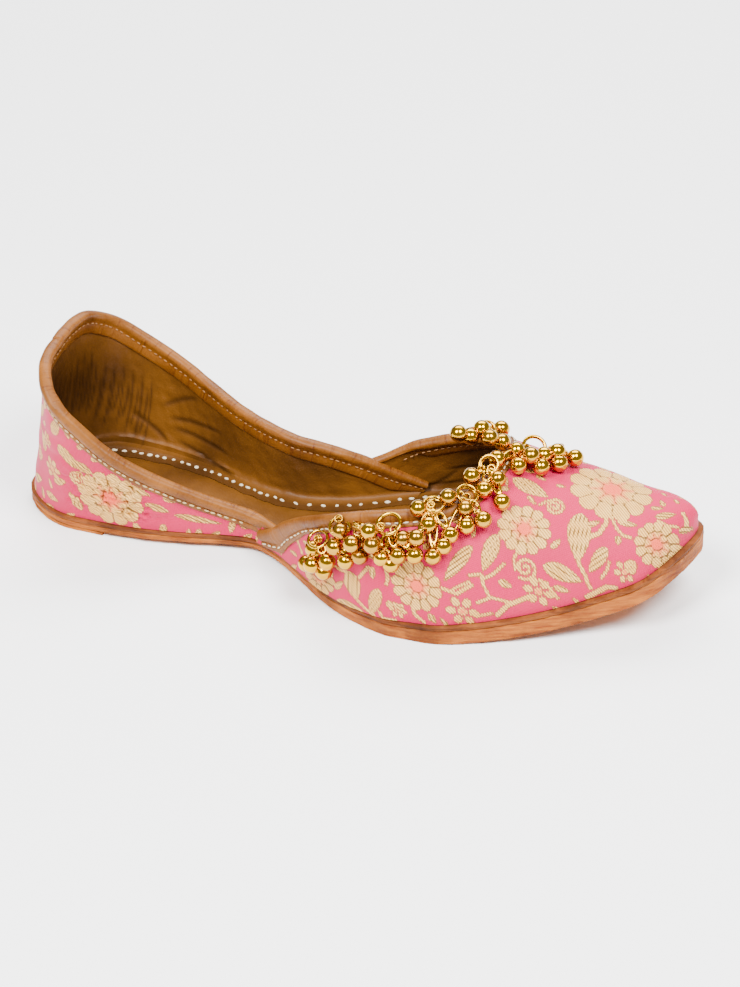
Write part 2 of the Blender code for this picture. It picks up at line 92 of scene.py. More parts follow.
QUARTER = {
    "station": (0.00, 0.04, 0.08, 0.12, 0.16, 0.21, 0.26, 0.31, 0.36, 0.42, 0.46, 0.50, 0.54, 0.58),
    "near": (1.00, 0.965, 0.880, 0.750, 0.590, 0.440, 0.330, 0.235, 0.165, 0.110, 0.090, 0.075, 0.065, 0.06),
    "far": (1.01, 0.995, 0.900, 0.790, 0.705, 0.615, 0.540, 0.490, 0.465, 0.430, 0.380, 0.290, 0.170, 0.06),
    "near_lean": (0.0, 0.03, 0.09, 0.13, 0.13, 0.11, 0.08, 0.05, 0.03, 0.0, 0.0, 0.0, 0.0, 0.0),
    "far_lean": (0.0, 0.03, 0.09, 0.13, 0.14, 0.13, 0.10, 0.07, 0.04, 0.0, 0.0, 0.0, 0.0, 0.0),
}
THROAT = {
    "station": (0.375, 0.40, 0.43, 0.475, 0.52, 0.56, 0.60, 0.65, 0.69, 0.715),
    "near": (0.975, 0.945, 0.87, 0.76, 0.66, 0.58, 0.51, 0.44, 0.38, 0.33),
    "far": (0.975, 0.955, 0.92, 0.87, 0.81, 0.73, 0.66, 0.55, 0.43, 0.35),
}


# The shoe's form

def along(table, column, station):
    """Smooth values of a table's column, with no overshoot between its rows."""
    xs, ys = np.array(table["station"]), np.array(table[column])
    steps = np.diff(xs)
    slopes = np.diff(ys) / steps
    tangents = np.zeros_like(ys)
    tangents[0], tangents[-1] = slopes[0], slopes[-1]
    for i in range(1, len(ys) - 1):
        if slopes[i - 1] * slopes[i] > 0:
            tangents[i] = 2 / (1 / slopes[i - 1] + 1 / slopes[i])
    station = np.clip(station, xs[0], xs[-1])
    i = np.clip(np.searchsorted(xs, station) - 1, 0, len(xs) - 2)
    u = (station - xs[i]) / steps[i]
    start = (1 + 2 * u) * (1 - u) ** 2 * ys[i] + u * (1 - u) ** 2 * steps[i] * tangents[i]
    end = u * u * (3 - 2 * u) * ys[i + 1] + u * u * (u - 1) * steps[i] * tangents[i + 1]
    return start + end


def sided(table, near, far, side, station):
    return np.where(np.asarray(side) < 0, along(table, near, station), along(table, far, station))


def rounded(distance, reach):
    share = np.clip(np.asarray(distance) / reach, 0.0, 1.0)
    return np.sqrt(1 - (1 - share) ** 2)


def half_width(side, station):
    station = np.asarray(station, dtype=float)
    ends = rounded(station, HEEL_ROUND) * rounded(1 - station, TOE_ROUND)
    return BALL_WIDTH * sided(OUTLINE, "near", "far", side, station) * ends


STATIONS = np.linspace(0, 1, 101)
MIDDLE = (half_width(FAR, STATIONS).max() - half_width(NEAR, STATIONS).max()) / 2


def underside(station):
    down = np.clip((station - LIFT_FADE_START) / (BALL_START - LIFT_FADE_START), 0.0, 1.0)
    return (HEEL_LIFT + CLEARANCE) * (1 - down) + TOE_SPRING * along(SOLE, "under", station)


def midsole_top(station):
    return underside(station) + SOLE_EDGE * along(SOLE, "edge", station) + CLEARANCE


def feather(station):
    """Height at which the upper's margin rests on the midsole."""
    return midsole_top(station) + CLEARANCE


def ledge(station):
    return SOLE_LEDGE * along(SOLE, "ledge", station)


def outline(side, station, inset=0.0):
    """Points of the sole's outline, moved in towards the middle line of the foot."""
    station = np.asarray(station, dtype=float)
    x, y = station * LENGTH, side * half_width(side, station)
    core = np.clip(station, CORE_START, CORE_END)
    way_x = core * LENGTH - x
    way_y = (half_width(FAR, core) - half_width(NEAR, core)) / 2 - y
    length = np.maximum(np.hypot(way_x, way_y), 1e-9)
    inset = np.minimum(inset, length)
    return x + way_x / length * inset - LENGTH / 2, y + way_y / length * inset - MIDDLE


def skin(side, station, angle, proud=0.0):
    """Points of the upper's outside. The angle runs from 0 at the sole to a right angle at the crown."""
    side, station, angle = np.asarray(side), np.asarray(station, dtype=float), np.asarray(angle, dtype=float)
    foot_x, foot_y = outline(side, station, ledge(station))
    crown_x = (foot_x + outline(-side, station, ledge(station))[0]) / 2
    foot_y = foot_y + side * proud
    near, far = -half_width(NEAR, station), half_width(FAR, station)
    crown_y = near + (far - near) * along(CROWN, "across", station) - MIDDLE
    across = np.clip(np.cos(angle), 0.0, 1.0) ** (2 / SECTION_POWER)
    up = (crown_height(station) + proud) * np.clip(np.sin(angle), 0.0, 1.0) ** (2 / SECTION_POWER)
    lean = BALL_WIDTH * sided(QUARTER, "near_lean", "far_lean", side, station)
    lean = lean * np.minimum(up / BACK_HEIGHT, 1.0)
    forward = BACK_LEAN * up / BACK_HEIGHT * np.clip(1 - station / HEEL_ROUND, 0.0, 1.0) ** 2
    return np.stack(np.broadcast_arrays(
        crown_x + (foot_x - crown_x) * across + forward,
        crown_y + (foot_y - crown_y) * across + side * lean * rounded(station, HEEL_ROUND),
        feather(station) + up), axis=-1)


def crown_height(station):
    nose = NOSE_SHARE + (1 - NOSE_SHARE) * rounded(1 - np.asarray(station), NOSE_ROUND)
    return INSTEP_HEIGHT * along(CROWN, "height", station) * nose


def angle_at(station, up):
    return np.arcsin(np.clip(up / crown_height(station), 0.0, 1.0) ** (SECTION_POWER / 2))


def topline(side, station):
    return BACK_HEIGHT * sided(QUARTER, "near", "far", side, station)


def throat_angle(side, station):
    station = np.asarray(station, dtype=float)
    opened = sided(THROAT, "near", "far", side, station)
    return math.pi / 2 * (1 - opened * rounded(THROAT_END - station, THROAT_ROUND))


def wing_proud(station):
    fade = np.clip((station - WING_FADE_START) / (WING_FADE_END - WING_FADE_START), 0.0, 1.0)
    return WING_STEP * (1 - fade * fade * (3 - 2 * fade))


def unit(vectors):
    return vectors / np.maximum(np.linalg.norm(vectors, axis=-1, keepdims=True), 1e-12)


def skin_normal(side, station, angle, proud=0.0):
    """Outward normals of the skin."""
    low = np.maximum(angle - 0.01, 0.0)
    up = skin(side, station, low + 0.01, proud) - skin(side, station, low, proud)
    back = np.maximum(station - 0.002, 0.0)
    front = skin(side, back + 0.002, angle, proud) - skin(side, back, angle, proud)
    at_heel = (np.asarray(station) < 1e-6)[..., None]
    straight = np.zeros_like(front)
    straight[..., 1] = side
    front = np.where(at_heel, straight, front)
    return unit(np.cross(front, up) * -np.asarray(side)[..., None])


def run_along(points, axis=0):
    """Length of a line up to each of its points."""
    steps = np.linalg.norm(np.diff(points, axis=axis), axis=-1)
    return np.concatenate([np.zeros_like(steps.take([0], axis)), np.cumsum(steps, axis=axis)], axis=axis)


def from_the_heel(side, station):
    """Distance in mm along the foot of the upper, from the heel's middle."""
    run = run_along(skin(side, station, np.full(side.shape, 0.02))) / MM
    return run - run[np.argmin(station)]


def crowded(start, end, count):
    """Stations that crowd towards the start, where a line turns."""
    return start + (end - start) * (1 - np.cos(math.pi / 2 * np.arange(count + 1) / count))


def ripple(x, y, size, seed):
    """Soft uneven waves of about a given size, from -1 to 1."""
    rng = np.random.default_rng(seed)
    total = np.zeros(np.broadcast(x, y).shape)
    for _ in range(9):
        turn, phase = rng.uniform(0, 2 * math.pi), rng.uniform(0, 2 * math.pi)
        waves = rng.uniform(0.6, 1.6) / size
        way = x * math.cos(turn) + y * math.sin(turn)
        total = total + np.sin(way * 2 * math.pi * waves + phase)
    return total / 4.0


def trough(x, y, start, end, width, bend=0.0):
    """1 along a crease from start to end, fading out to its sides and its ends."""
    start, end = np.array(start, dtype=float), np.array(end, dtype=float)
    way = end - start
    length = np.hypot(*way)
    way /= length
    t = ((x - start[0]) * way[0] + (y - start[1]) * way[1]) / length
    off = (x - start[0]) * -way[1] + (y - start[1]) * way[0] - bend * 4 * t * (1 - t)
    ends = np.clip(t * 4, 0, 1) * np.clip((1 - t) * 4, 0, 1)
    return np.exp(-(off / width) ** 2) * ends * ends * (3 - 2 * ends)


# Making pieces

MERGE = 2e-6      # corners closer than this are one


def clear_selection():
    for other in bpy.context.selected_objects:
        other.select_set(False)


def sheet(name, points, material, uv=None, values=None, facing=None, smooth=40):
    """A grid with its corners moved onto the points, which run along the piece and then across it."""
    if facing is not None:
        over = np.cross(np.diff(points, axis=1)[:-1], np.diff(points, axis=0)[:, :-1])
        if (over * facing[:-1, :-1]).sum() < 0:
            points = points[::-1]
            uv = uv if uv is None else uv[::-1]
            values = {key: value[::-1] for key, value in (values or {}).items()}
    columns, rows = points.shape[:2]
    clear_selection()
    bpy.ops.mesh.primitive_grid_add(x_subdivisions=rows - 1, y_subdivisions=columns - 1, size=1.0)
    made = bpy.context.object
    made.name = name
    mesh = made.data
    mesh.name = name
    assert len(mesh.vertices) == columns * rows
    mesh.vertices.foreach_set("co", points.reshape(-1).astype(np.float32))
    if uv is not None:
        corner = np.empty(len(mesh.loops), dtype=np.int32)
        mesh.loops.foreach_get("vertex_index", corner)
        mesh.uv_layers[0].data.foreach_set("uv", uv.reshape(-1, 2)[corner].reshape(-1).astype(np.float32))
    for key, value in (values or {}).items():
        layer = mesh.attributes.new(key, "FLOAT", "POINT")
        layer.data.foreach_set("value", np.ascontiguousarray(value, dtype=np.float32).reshape(-1))
    bpy.ops.object.mode_set(mode="EDIT")
    bpy.ops.mesh.select_all(action="SELECT")
    bpy.ops.mesh.remove_doubles(threshold=MERGE)
    bpy.ops.mesh.dissolve_degenerate(threshold=MERGE)
    bpy.ops.object.mode_set(mode="OBJECT")
    finish(made, material, smooth)
    return made


def finish(made, material, smooth):
    """Give a piece its material, and smooth it where its faces meet at less than an angle in degrees."""
    made.data.materials.clear()
    made.data.materials.append(material)
    clear_selection()
    made.select_set(True)
    bpy.context.view_layer.objects.active = made
    bpy.ops.object.shade_smooth_by_angle(angle=math.radians(smooth))


def copies(name, parts, material, attribute=None):
    """One mesh of templates' copies, each put in its place, with a value for each copy."""
    bm = bmesh.new()
    layer = bm.verts.layers.float.new(attribute) if attribute else None
    for made_from, place, value in parts:
        count = len(bm.verts)
        bm.from_mesh(made_from.data)
        bm.verts.ensure_lookup_table()
        bmesh.ops.transform(bm, matrix=place, verts=bm.verts[count:])
        if layer:
            for vertex in bm.verts[count:]:
                vertex[layer] = value
    mesh = bpy.data.meshes.new(name)
    bm.to_mesh(mesh)
    bm.free()
    made = bpy.data.objects.new(name, mesh)
    bpy.context.scene.collection.objects.link(made)
    finish(made, material, 60)
    return made


def placed(centre, forward, up, size=(1.0, 1.0, 1.0)):
    """Matrix that puts a template at a centre, with its X along forward and its Z up."""
    x = Vector(forward).normalized()
    z = Vector(up)
    z = (z - x * z.dot(x)).normalized()
    y = z.cross(x)
    turn = Matrix((x, y, z)).transposed().to_4x4()
    return Matrix.Translation(Vector(centre)) @ turn @ Matrix.Diagonal((*size, 1.0))


# Materials

def linear(code):
    """Linear colour of an sRGB hex value."""
    parts = [int(code[i:i + 2], 16) / 255 for i in (1, 3, 5)]
    return tuple(c / 12.92 if c <= 0.04045 else ((c + 0.055) / 1.055) ** 2.4 for c in parts) + (1.0,)


BLACK, WHITE = linear("#000000"), linear("#FFFFFF")


def add(tree, kind, inputs=None, stops=(), output=0, **settings):
    """Add a node with its settings, set or link its sockets, and give back one of its outputs."""
    made = tree.nodes.new("ShaderNode" + kind)
    for name, value in settings.items():
        setattr(made, name, value)
    for number, (place, colour) in enumerate(stops):
        element = made.color_ramp.elements[number]
        element.position, element.color = place, colour
    for key, value in (inputs or {}).items():
        if isinstance(value, bpy.types.NodeSocket):
            tree.links.new(value, made.inputs[key])
        else:
            made.inputs[key].default_value = value
    return made.outputs[output]


def new_material(name, **sockets):
    """A material with its node tree, its shader and the Object coordinates."""
    made = bpy.data.materials.new(name)
    made.use_nodes = True
    tree = made.node_tree
    shader = tree.nodes["Principled BSDF"]
    for key, value in sockets.items():
        shader.inputs[key.replace("_", " ")].default_value = value
    return made, tree, shader, add(tree, "TexCoord", output="Object")


def coated(tree, ground, coats):
    """Colour of a ground under coats of other colours, each with its share and its strength."""
    colour = linear(ground)
    for share, strength, coat in coats:
        share = add(tree, "Math", {0: share, 1: strength}, operation="MULTIPLY")
        colour = add(tree, "Mix", {0: share, 6: colour, 7: linear(coat)}, output=2, data_type="RGBA")
    return colour


def dress(tree, shader, colour, rough=None, height=None, depth=0.0, strength=1.0):
    """Give the shader its colour, and where it has them its roughness and a relief of a depth in metres."""
    tree.links.new(colour, shader.inputs["Base Color"])
    if rough is not None:
        tree.links.new(rough, shader.inputs["Roughness"])
    if height is not None:
        relief = add(tree, "Bump", {"Height": height, "Distance": depth, "Strength": strength})
        tree.links.new(relief, shader.inputs["Normal"])


# Spacing of the brocade's threads, in mm
TWILL_LINES = 1.15
PLAIN_THREADS = 0.62


def silk_brocade():
    """Satin silk with gilt thread woven in: a soft pink gleam, and raised pale gold figures with a
    diagonal thread grain. Real threads lie about 0.2 mm apart. They are drawn 0.6 mm apart, and the
    twill's lines 1.15 mm apart, so that they show."""
    made, tree, shader, here = new_material(
        "silk_brocade", IOR=1.4, Specular_IOR_Level=0.15, Sheen_Weight=0.04, Sheen_Roughness=0.4)
    cloth = add(tree, "UVMap", uv_map="UVMap")
    u = add(tree, "SeparateXYZ", {0: cloth}, output="X")
    v = add(tree, "SeparateXYZ", {0: cloth}, output="Y")
    gilt, vein, blush = (add(tree, "Attribute", output="Fac", attribute_name=name)
                         for name in ("gilt", "vein", "blush"))
    # thread steps make the figures' edges ragged
    step = add(tree, "Math", {0: v, 1: 0.25, 2: u}, operation="MULTIPLY_ADD")
    step = add(tree, "Math", {0: step, 1: 0.5}, operation="PINGPONG")
    step = add(tree, "Math", {0: step, 1: 0.25}, operation="SUBTRACT")
    ragged = add(tree, "Math", {0: step, 1: 0.8, 2: gilt}, operation="MULTIPLY_ADD")
    figure, lines, rim = (
        add(tree, "MapRange", {0: value, 1: low, 2: high}, interpolation_type="SMOOTHSTEP")
        for value, low, high in ((ragged, -0.12, 0.12), (vein, -0.10, 0.14), (ragged, -0.50, -0.15)))
    slant = add(tree, "Math", {0: u, 1: 0.8, 2: v}, operation="MULTIPLY_ADD")
    waves = []
    for way, spacing in ((slant, TWILL_LINES), (v, PLAIN_THREADS), (u, PLAIN_THREADS)):
        turns = add(tree, "Math", {0: way, 1: 2 * math.pi / spacing}, operation="MULTIPLY")
        waves.append(add(tree, "Math", {0: turns}, operation="SINE"))
    twill, weft = (add(tree, "Math", {0: wave, 1: 0.5, 2: 0.5}, operation="MULTIPLY_ADD")
                   for wave in waves[:2])
    warp = waves[2]
    cloudy, shine = (
        add(tree, "TexNoise", {"Vector": here, "Scale": 1 / (size * MM), "Detail": 4.0, "Roughness": 0.55})
        for size in (22.22, 6.25))
    hatch = add(tree, "Math", {0: twill, 1: 2.0}, operation="POWER")
    pink = coated(tree, "#A80836", (
        (cloudy, 1.0, "#C6144C"), (weft, 0.22, "#DE3A70"), (rim, 0.55, "#8E4A20")))
    gold = coated(tree, "#DE9C40", (
        (shine, 1.0, "#FFD07A"), (hatch, 0.80, "#84501C"), (blush, 1.0, "#E85C40"), (lines, 0.9, "#5A3A12")))
    colour = add(tree, "Mix", {0: figure, 6: pink, 7: gold}, output=2, data_type="RGBA")
    rough = add(tree, "Math", {0: figure, 1: -0.10, 2: 0.52}, operation="MULTIPLY_ADD")
    # the figures stand up, with grooves between their threads and deeper ones along their veins
    grooves = add(tree, "Math", {0: twill, 1: -0.5, 2: 1.3}, operation="MULTIPLY_ADD")
    grooves = add(tree, "Math", {0: lines, 1: -0.7, 2: grooves}, operation="MULTIPLY_ADD")
    height = add(tree, "Math", {0: figure, 1: grooves}, operation="MULTIPLY")
    threads = add(tree, "Math", {0: weft, 1: warp}, operation="ADD")
    height = add(tree, "Math", {0: threads, 1: 0.12, 2: height}, operation="MULTIPLY_ADD")
    dress(tree, shader, colour, rough, height, 0.22 * MM)
    return made


def goat_leather(name):
    """Vegetable-tanned goat leather, waxed by hand: olive tan, a low gloss on its creases, fine pores. Where
    a piece carries them, two masks darken it with painted shade: in its folds, and inside the heel and on the
    margin.
    Real pores lie about 0.3 mm apart. They are drawn 0.7 mm apart, so that they show."""
    made, tree, shader, here = new_material(name, IOR=1.45, Specular_IOR_Level=0.22)
    painted_fold_shade, stain_and_painted_shade = (add(tree, "Attribute", output="Fac", attribute_name=name) for name in ("painted_fold_shade", "stain_and_painted_shade"))
    cloudy, grain = (
        add(tree, "TexNoise", {"Vector": here, "Scale": 1 / (size * MM), "Detail": 6.0, "Roughness": 0.55})
        for size in (26.32, 3.846))
    patches = add(tree, "ValToRGB", {"Fac": cloudy}, stops=((0.3, BLACK), (0.7, WHITE)))
    # painted shade: the first mask darkens the folds, the second the inside of the heel and the margin
    colour = coated(tree, "#42260A", (
        (patches, 1.0, "#6C4214"), (painted_fold_shade, 0.6, "#1A0C02"), (stain_and_painted_shade, 1.0, "#241204")))
    rough = add(tree, "Math", {0: cloudy, 1: 0.25, 2: 0.36}, operation="MULTIPLY_ADD")
    pores = add(tree, "TexVoronoi", {"Vector": here, "Scale": 1 / (0.7143 * MM)}, output="Distance",
                feature="F1")
    height = add(tree, "Math", {0: pores, 1: 0.25, 2: grain}, operation="MULTIPLY_ADD")
    dress(tree, shader, colour, rough, height, 0.25 * MM, 0.7)
    return made


def edging_leather():
    """Tan goat leather, skived and folded: smooth and a little waxed, with small cross wrinkles, darkened
    with painted shade.
    """
    made, tree, shader, here = new_material("tan_edging", IOR=1.45, Specular_IOR_Level=0.22)
    cloudy, grain = (
        add(tree, "TexNoise", {"Vector": here, "Scale": 1 / (size * MM), "Detail": detail, "Roughness": 0.55})
        for size, detail in ((14.29, 6.0), (1.4286, 3.0)))
    # the strip's own coordinates, in mm along it and in rows across it
    strip = add(tree, "UVMap", uv_map="UVMap")
    across = add(tree, "Mapping", {0: strip, 3: (1 / 1.25, 1 / 10, 1.0)})
    wrinkle = add(tree, "TexNoise", {"Vector": across, "Scale": 1.0, "Detail": 5.0, "Roughness": 0.55})
    patches = add(tree, "ValToRGB", {"Fac": cloudy}, stops=((0.3, BLACK), (0.72, WHITE)))
    # painted shade on the cross wrinkles
    creases = add(tree, "ValToRGB", {"Fac": wrinkle}, stops=((0.55, BLACK), (0.75, WHITE)))
    colour = coated(tree, "#5C320A", ((patches, 1.0, "#86511A"), (creases, 1.0, "#4A1C06")))
    rough = add(tree, "Math", {0: cloudy, 1: 0.2, 2: 0.32}, operation="MULTIPLY_ADD")
    height = add(tree, "Math", {0: grain, 1: 0.4, 2: wrinkle}, operation="MULTIPLY_ADD")
    dress(tree, shader, colour, rough, height, 0.3 * MM, 0.8)
    return made


def cut_leather(name, dark, light, stain_and_painted_shade):
    """Edge of thick buffalo leather, cut with a knife and rubbed: fibres in layers, stains, dull.
    The fibres are drawn 11 mm long and 1.1 mm thick, coarser than real, so that they show."""
    made, tree, shader, here = new_material(name, IOR=1.45, Specular_IOR_Level=0.15)
    fibre = tuple(1 / (size * MM) for size in (11.11, 11.11, 1.111))
    layers = add(tree, "Mapping", {0: here, 3: fibre})
    fibres = add(tree, "TexNoise", {"Vector": layers, "Scale": 1.0, "Detail": 6.0, "Roughness": 0.65})
    broad, rubbed = (
        add(tree, "TexNoise", {"Vector": here, "Scale": 1 / (size * MM), "Detail": 5.0, "Roughness": 0.55})
        for size in (18.18, 2.381))
    light_fibres = add(tree, "ValToRGB", {"Fac": fibres}, stops=((0.32, BLACK), (0.68, WHITE)))
    stains = add(tree, "ValToRGB", {"Fac": broad}, stops=((0.48, BLACK), (0.72, WHITE)))
    colour = coated(tree, dark, ((light_fibres, 1.0, light), (stains, 1.0, stain_and_painted_shade)))
    rough = add(tree, "Math", {0: fibres, 1: 0.25, 2: 0.45}, operation="MULTIPLY_ADD")
    height = add(tree, "Math", {0: rubbed, 1: 0.8, 2: fibres}, operation="MULTIPLY_ADD")
    dress(tree, shader, colour, rough, height, 0.35 * MM, 0.9)
    return made


def bell_brass():
    """Tumbled and gilded brass: a warm mirror, with a few bells duller and browner than the rest."""
    made, tree, shader, here = new_material("gilt_brass", Metallic=1.0)
    dull = add(tree, "Attribute", output="Fac", attribute_name="dull")
    cloudy = add(tree, "TexNoise", {"Vector": here, "Scale": 1 / (3.333 * MM), "Detail": 3.0,
                                    "Roughness": 0.55})
    colour = coated(tree, "#BA8812", ((cloudy, 1.0, "#DEAC28"), (dull, 1.0, "#8A5A30")))
    rough = add(tree, "Math", {0: dull, 1: 0.16, 2: 0.08}, operation="MULTIPLY_ADD")
    rough = add(tree, "Math", {0: cloudy, 1: 0.10, 2: rough}, operation="MULTIPLY_ADD")
    dress(tree, shader, colour, rough)
    return made


def cotton(name, light, shade):
    """Plied cotton: dull, with a twist that shows as small ridges 0.7 mm apart."""
    made, tree, shader, here = new_material(name, Roughness=0.85, IOR=1.5)
    cloudy, ridges = (
        add(tree, "TexNoise", {"Vector": here, "Scale": 1 / (size * MM), "Detail": detail, "Roughness": 0.55})
        for size, detail in ((2.0, 4.0), (0.6667, 2.0)))
    colour = coated(tree, shade, ((cloudy, 1.0, light),))
    dress(tree, shader, colour, height=ridges, depth=0.2 * MM, strength=0.8)
    return made


BROCADE = silk_brocade()
LINING = goat_leather("goat_lining")
EDGING = edging_leather()
SOLE_LEATHER = cut_leather("buffalo_sole", "#78320A", "#B86C26", "#54240A")
MIDSOLE_LEATHER = cut_leather("dark_midsole", "#4E2208", "#8E4E20", "#341606")
INSOLE_LEATHER = goat_leather("brown_insole")
BRASS = bell_brass()
TAN_THREAD = cotton("tan_thread", "#B8834E", "#4A2208")
WHITE_COTTON = cotton("white_cotton", "#E9DCC0", "#B8A27C")
GILT_THREAD = cotton("gilt_thread", "#D8BE8C", "#8E6A3A")


# Cloth and lining
RIGHT_ANGLE = math.pi / 2


def columns_of(near_stations, far_stations):
    """Sides and stations of columns along the near side, over an end, and back along the far side."""
    side = np.concatenate([np.full(len(near_stations), NEAR), np.full(len(far_stations), FAR)])
    return side, np.concatenate([near_stations, far_stations])


def vamp_columns(fine=1.0):
    tip = 1 - crowded(0.0, TOE_ROUND, int(40 * fine))
    body = np.linspace(1 - TOE_ROUND, THROAT_END, int(80 * fine))[1:]
    wing = crowded(THROAT_END, THROAT_START, int(150 * fine))[1:]
    half = np.concatenate([tip, body, wing])
    return columns_of(half[::-1], half)


def quarter_columns(near_end, far_end, step=0.0028):
    """From the far side, around the heel, to the near side."""
    round_heel = crowded(0.0, HEEL_ROUND, 50)
    far = np.concatenate([round_heel, np.arange(HEEL_ROUND, far_end, step)[1:], [far_end]])
    near = np.concatenate([round_heel, np.arange(HEEL_ROUND, near_end, step)[1:], [near_end]])
    side, station = columns_of(near, far)
    order = np.r_[len(near) + len(far) - 1:len(near) - 1:-1, 0:len(near)]
    return side[order], station[order]


def across_the_skin(side, station, angles, proud, from_crown):
    """Length in mm along each section, from the crown or from the foot."""
    full = np.linspace(0, RIGHT_ANGLE, 60)
    points = skin(side[:, None], station[:, None], full[None, :], proud)
    lengths = run_along(points, axis=1)
    found = np.stack([np.interp(a, full, row) for a, row in zip(angles, lengths)])
    if from_crown:
        found = lengths[:, -1:] - found
    return found / MM


def blank(u):
    return {"gilt": np.full(u.shape, -5.0), "vein": np.full(u.shape, -5.0), "blush": np.zeros(u.shape)}


def stamp(cloth, gilt, vein=None, blush=None):
    """Weave a figure into the cloth: the topmost figure wins where it is gilt."""
    if vein is not None:
        cloth["vein"] = np.where(gilt > -0.4, vein, cloth["vein"])
    if blush is not None:
        cloth["blush"] = np.where(gilt > 0, blush, cloth["blush"])
    cloth["gilt"] = np.maximum(cloth["gilt"], gilt)


def turned(u, v, centre, degrees):
    c, s = math.cos(math.radians(degrees)), math.sin(math.radians(degrees))
    x, y = u - centre[0], v - centre[1]
    return x * c + y * s, -x * s + y * c


def rosette(cloth, u, v, centre, degrees, radius, petals=12):
    """Round flower: a ring of long petals, a ring of short ones with pink rays, and a pink eye."""
    eye, short = radius * 0.24, 8
    x, y = turned(u, v, centre, degrees)
    r, theta = np.hypot(x, y), np.arctan2(y, x)
    scallop = np.abs(np.cos(theta * petals / 2))
    edge = radius * (0.84 + 0.16 * scallop ** 0.6)
    # distances in mm from the lines between the long petals, and between the short ones
    off, inner = (np.abs(np.mod(theta * count / (2 * math.pi), 1.0) - 0.5) * 2 * math.pi / count * r
                  for count in (petals, short))
    vein = np.where(r > radius * 0.50, 0.28 - off, -1.0)
    vein = np.maximum(vein, 0.26 - np.abs(r - radius * (0.60 - 0.10 * scallop)))
    vein = np.maximum(vein, np.where((r > eye) & (r < radius * 0.48), 0.24 - inner, -1.0))
    vein = np.maximum(vein, 0.22 - np.abs(r - eye))
    rays = np.where(r < radius * 0.52, np.clip(1.1 - inner, 0, 1), 0)
    blush = np.clip(1.5 - r / eye, 0, 1) + rays * 0.6
    notch = np.where(r > radius * 0.72, off - 0.25 * (r / radius - 0.5), 1.0)
    stamp(cloth, np.minimum(edge - r, notch), vein, np.clip(blush, 0, 1))


def leaf(cloth, u, v, centre, degrees, length, width):
    """Pointed leaf in slanting stripes of thread."""
    x, y = turned(u, v, centre, degrees)
    t = np.clip(x / length + 0.5, 0, 1)
    half = width / 2 * np.sin(math.pi * t ** 0.75) ** 0.8
    body = np.where(np.abs(x) < length / 2, half - np.abs(y), -np.abs(y) - np.abs(x) + length / 2)
    stripe = np.mod(y + 0.28 * x, 1.35)
    stamp(cloth, body, 0.24 - np.abs(stripe - 0.67))


def strand(cloth, u, v, points, width):
    """Stem through a few points."""
    best = np.full(u.shape, 9.0)
    for (ax, ay), (bx, by) in zip(points, points[1:]):
        wx, wy = bx - ax, by - ay
        t = np.clip(((u - ax) * wx + (v - ay) * wy) / (wx * wx + wy * wy), 0, 1)
        best = np.minimum(best, np.hypot(u - ax - t * wx, v - ay - t * wy))
    stamp(cloth, width / 2 - best)


def tendril(cloth, u, v, centre, degrees, size, way):
    """Spiral tendril that opens outwards."""
    angles = np.linspace(0, 1.75 * 2 * math.pi, 26)
    radii = size * (0.12 + 0.88 * angles / angles[-1])
    c = math.radians(degrees)
    points = [(centre[0] + r * math.cos(way * a + c), centre[1] + r * math.sin(way * a + c))
              for a, r in zip(angles, radii)]
    strand(cloth, u, v, points, 1.0)


def sprig(cloth, u, v, centre, degrees, size, petals=6):
    """Small open blossom of separate petals."""
    x, y = turned(u, v, centre, degrees)
    best = size * 0.28 - np.hypot(x, y)
    for k in range(petals):
        a = 2 * math.pi * k / petals
        px, py = x * math.cos(a) + y * math.sin(a), -x * math.sin(a) + y * math.cos(a)
        petal = 1 - np.hypot((px - size * 0.72) / (size * 0.32), py / (size * 0.26))
        best = np.maximum(best, petal * size * 0.27)
    stamp(cloth, best, None, np.clip(1 - np.hypot(x, y) / (size * 0.3), 0, 1))


def fill_in(cloth, u, v, seed, spacing, length, width):
    """Small leaves in the gaps that the larger figures leave."""
    rng = np.random.default_rng(seed)
    for a in np.arange(u.min(), u.max(), spacing):
        for b in np.arange(v.min(), v.max(), spacing):
            centre = a + rng.uniform(-0.3, 0.3) * spacing, b + rng.uniform(-0.3, 0.3) * spacing
            degrees, size = rng.uniform(0, 360), rng.uniform(0.75, 1.2)
            around_it = np.hypot(u - centre[0], v - centre[1]) < length * 0.6
            if around_it.any() and cloth["gilt"][around_it].max() < 0.0:
                leaf(cloth, u, v, centre, degrees, length * size, width * size)


# The woven pattern and the creases, in mm on each cloth. On the vamp: along the sole, and away from the
# crown with the near side negative. On the quarter: from the heel's middle, and up from the sole.

# Creases and folds: start, end, width, bend, depth
VAMP_CREASES = (
    ((98, -24), (126, -50), 3.2, 1.5, 0.4), ((112, -28), (138, -46), 2.6, -1, 0.3),
    ((186, -52), (214, -50), 3, 1.2, 0.22), ((96, -58), (120, -66), 2.6, 0.8, 0.3),
    ((204, 24), (176, 34), 3.2, 1.5, 0.25), ((236, -8), (240, 12), 2.6, 1, 0.15),
)
QUARTER_CREASES = (
    ((18, 24), (44, 27), 1.6, 1.5, 0.4), ((14, 34), (38, 36), 1.5, -1, 0.32),
    ((22, 12), (40, 20), 1.4, 1, 0.3), ((62, 4), (86, 7), 1.5, 0.6, 0.3),
    ((-20, 22), (-58, 24), 2.2, 2, 0.35), ((-60, 12), (-96, 10), 2, 1, 0.3),
)
